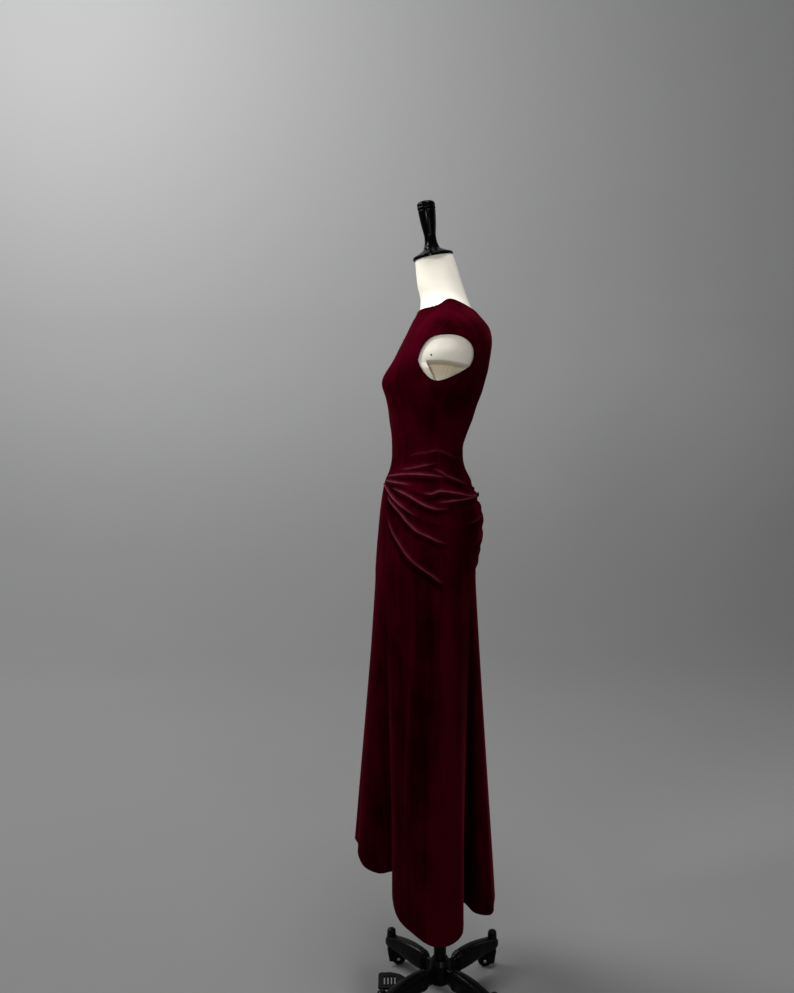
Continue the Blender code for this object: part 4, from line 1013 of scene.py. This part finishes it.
# A leg: superellipse sections |u / w|^n + |v / h|^n = 1 along a line out from the pole, ribbed where its hood
# starts, with a turned post at its end.
def makeLeg(name, degrees):
    first, pitch, count, depth = leg["ribs"]
    at = np.linspace(leg["stations"][0][0], leg["stations"][-1][0], leg["rows"])
    low, high, half = (tableValue(at, leg["stations"], column) for column in (1, 2, 3))
    isRibbed = (at > first) & (at < first + count * pitch)
    rib = np.where(isRibbed, np.sin(math.pi * (at - first) / pitch) ** 2, 0) * depth
    turn = np.linspace(0, 2 * math.pi, leg["columns"], endpoint=False)
    c, s = np.cos(turn), np.sin(turn)
    power = 2 / leg["squareness"]
    u = np.sign(c) * np.abs(c) ** power * (half + rib)[:, None]
    v = np.sign(s) * np.abs(s) ** power * ((high - low) / 2 + rib)[:, None] + ((high + low) / 2)[:, None]
    arm = np.stack([at[:, None] + 0 * u, -u, v], axis=-1)[:, ::-1]
    postProfile = finerProfile(leg["post"], leg["postSteps"])
    post = turnedGrid(postProfile, 0.0, (leg["reach"], 0, 0), leg["postColumns"])
    armPoints, armQuads = closeEnds(arm, leg["endRings"])
    postPoints, postQuads = closeEnds(post, leg["endRings"])
    points = np.concatenate([armPoints, postPoints])
    quads = np.concatenate([armQuads, postQuads + len(armPoints)])
    a = math.radians(degrees + leg["turn"])
    spin = np.array([[math.cos(a), -math.sin(a), 0], [math.sin(a), math.cos(a), 0], [0, 0, 1]])
    mesh = meshFromQuads(name, points @ spin.T, quads, sharpAngle=50)
    addPiece(name, mesh, (blackBase,), "stand_base", (frameName(name),))


rivet = {"radius": 4.4 * mm, "rise": 2.0 * mm, "fromMiddle": 12.2 * mm}


# Two rivet heads on each caster's axle, as shallow domes.
def makeRivets(corner):
    low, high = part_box(frameName("wheel" + corner))
    middle = (np.array(low) + np.array(high)) / 2 - np.array([0, poleY, 0])
    points, quads, count = [], [], 0
    for sign in (1, -1):
        outward, upright = np.array([sign, 0, 0]), np.array([0, 0, sign])
        dome = domeGrid(middle + outward * rivet["fromMiddle"], np.array([0, 1, 0]), upright, outward,
                        rivet["radius"], rivet["rise"], rings=8, columns=24, short=0.03)
        domePoints, domeQuads = closeEnds(dome, shares=(0.5, 0.05))
        points.append(domePoints)
        quads.append(domeQuads + count)
        count += len(domePoints)
    mesh = meshFromQuads("rivets" + corner, np.concatenate(points), np.concatenate(quads), sharpAngle=50)
    addPiece("rivets" + corner, mesh, (poleSteel,), frameName("caster" + corner))


for corner, degrees in leg["corners"]:
    makeLeg("leg" + corner, degrees)
    makeRivets(corner)
print("legs made")

# Frame nodes that keep their solids get a finer finish.
keptNodes = {"pole_collar": blackBase, "pole": poleSteel, "tube": blackBase, "base_hub": blackBase,
             "pedal": blackBase, "bustle_button": velvetFace}
for corner, _ in leg["corners"]:
    keptNodes[frameName("fork" + corner)] = blackBase
    keptNodes[frameName("wheel" + corner)] = casterRubber
for node, finish in keptNodes.items():
    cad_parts[node].data.materials.clear()
    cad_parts[node].data.materials.append(finish)


studio = {
    # the floor's darker colour is painted shade on the same paper as the wall
    "wall": (0.44, 0.44, 0.44, 1), "floor": (0.25, 0.25, 0.25, 1), "blendHeight": 2.6,
    "sweepStart": -3.1, "sweepRadius": 2.2, "halfWidth": 9.0, "wallTop": 7.0, "floorReach": 12.0,
    "sweepSteps": 25, "cloudScale": 2.0, "cloudShare": 0.06, "paperRoughness": 0.9,
    "ambient": (0.95, 0.97, 1.0, 1), "ambientPower": 0.15,
    # name, kind, place, aim, size, power in watts, colour, cone in degrees
    "lamps": (
        ("keyLamp", "SPOT", (0.7, -1.7, 2.9), (0, 0, 1.62), 0.40, 145.0, (1.0, 0.98, 0.96), 30.0),
        ("sideLamp", "SPOT", (2.8, -0.8, 1.9), (0, 0, 1.62), 0.60, 124.0, (1.0, 0.98, 0.95), 22.0),
        ("topLamp", "AREA", (0.4, 0.1, 3.6), (0, 0, 1.3), 0.8, 36.0, (1.0, 0.99, 0.98), 0),
        ("fillLamp", "AREA", (3.3, 1.0, 1.5), (0, 0, 0.75), 1.3, 17.0, (1.0, 0.99, 0.98), 0),
        ("backLamp", "AREA", (-1.6, 2.9, 2.2), (0, 0, 1.1), 1.2, 5.0, (1.0, 0.97, 0.95), 0),
        ("wallLamp", "AREA", (-1.5, -3.6, 5.2), (-5.0, 1.3, 1.4), 3.0, 275.0, (1.0, 1.0, 1.0), 0),
    ),
    "camera": (2.30, 0.0, 1.54), "pitch": 5.8, "focalPixels": 939.0, "shiftPixels": 43.0, "height": 993.0,
    "sensor": 36.0,  # mm
}


# Pale paper, darker on the floor than on the wall as painted shade, a little cloudy.
def makePaper():
    made, tree, shader = newMaterial("studioPaper")
    place = addNode(tree, "ShaderNodeTexCoord").outputs["Object"]
    noise = fedNode(tree, "ShaderNodeTexNoise", {"Vector": place, "Scale": studio["cloudScale"]})
    split = fedNode(tree, "ShaderNodeSeparateXYZ", {"Vector": place})
    rise = fedNode(tree, "ShaderNodeMapRange", {"Value": split.outputs["Z"], "From Max": studio["blendHeight"]},
                   interpolation_type="SMOOTHSTEP")
    share = mathNode(tree, "MULTIPLY_ADD", noise.outputs["Fac"], studio["cloudShare"], rise.outputs["Result"])
    feed(tree, shader, {"Base Color": mixNode(tree, share, studio["floor"], studio["wall"]),
                        "Roughness": studio["paperRoughness"]})
    return made


def makeBackdrop():
    # The floor runs flat, then turns up into a wall along a quarter circle.
    start, radius = studio["sweepStart"], studio["sweepRadius"]
    bend = np.linspace(0, math.pi / 2, studio["sweepSteps"])
    run = np.concatenate([[studio["floorReach"]], start - radius * np.sin(bend), [start - radius]])
    rise = np.concatenate([[0.0], radius - radius * np.cos(bend), [studio["wallTop"]]])
    side = np.array([studio["halfWidth"], -studio["halfWidth"]])
    points = np.stack([run[:, None] + 0 * side, side + 0 * run[:, None], rise[:, None] + 0 * side], axis=-1)
    mesh = meshFromQuads("studioBackdrop", points.reshape(-1, 3), gridQuads(len(run), 2), sharpAngle=60)
    backdrop = bpy.data.objects.new("studioBackdrop", mesh)
    mesh.materials.append(makePaper())
    bpy.context.scene.collection.objects.link(backdrop)


def makeLamp(name, kind, place, aim, size, power, colour, cone):
    lamp = bpy.data.lights.new(name, kind)
    lamp.energy, lamp.color = power, colour
    if kind == "SPOT":
        lamp.shadow_soft_size, lamp.spot_size, lamp.spot_blend = size / 2, math.radians(cone), 1.0
    else:
        lamp.size = size
    obj = bpy.data.objects.new(name, lamp)
    obj.location = Vector(place) + Vector((0, poleY, 0))
    obj.rotation_euler = (Vector(aim) - Vector(place)).to_track_quat("-Z", "Y").to_euler()
    bpy.context.scene.collection.objects.link(obj)


# The photo's side view: from the wearer's left, a little above the waist, tilted down.
def makeCamera():
    lens = bpy.data.cameras.new("photoCamera")
    lens.sensor_fit, lens.sensor_width = "AUTO", studio["sensor"]
    lens.lens = studio["focalPixels"] * studio["sensor"] / studio["height"]
    lens.shift_x = -studio["shiftPixels"] / studio["height"]
    camera = bpy.data.objects.new("photoCamera", lens)
    camera.location = Vector(studio["camera"]) + Vector((0, poleY, 0))
    camera.rotation_euler = (math.radians(90 - studio["pitch"]), 0, math.radians(90))
    bpy.context.scene.collection.objects.link(camera)
    bpy.context.scene.camera = camera


def makeStage():
    makeBackdrop()
    view = bpy.context.scene.view_settings
    view.view_transform, view.look = "Standard", "None"
    world = bpy.data.worlds.new("studio")
    world.use_nodes = True
    world.node_tree.nodes["Background"].inputs["Color"].default_value = studio["ambient"]
    world.node_tree.nodes["Background"].inputs["Strength"].default_value = studio["ambientPower"]
    bpy.context.scene.world = world
    for lamp in studio["lamps"]:
        makeLamp(*lamp)
    makeCamera()


makeStage()
print("stage made")
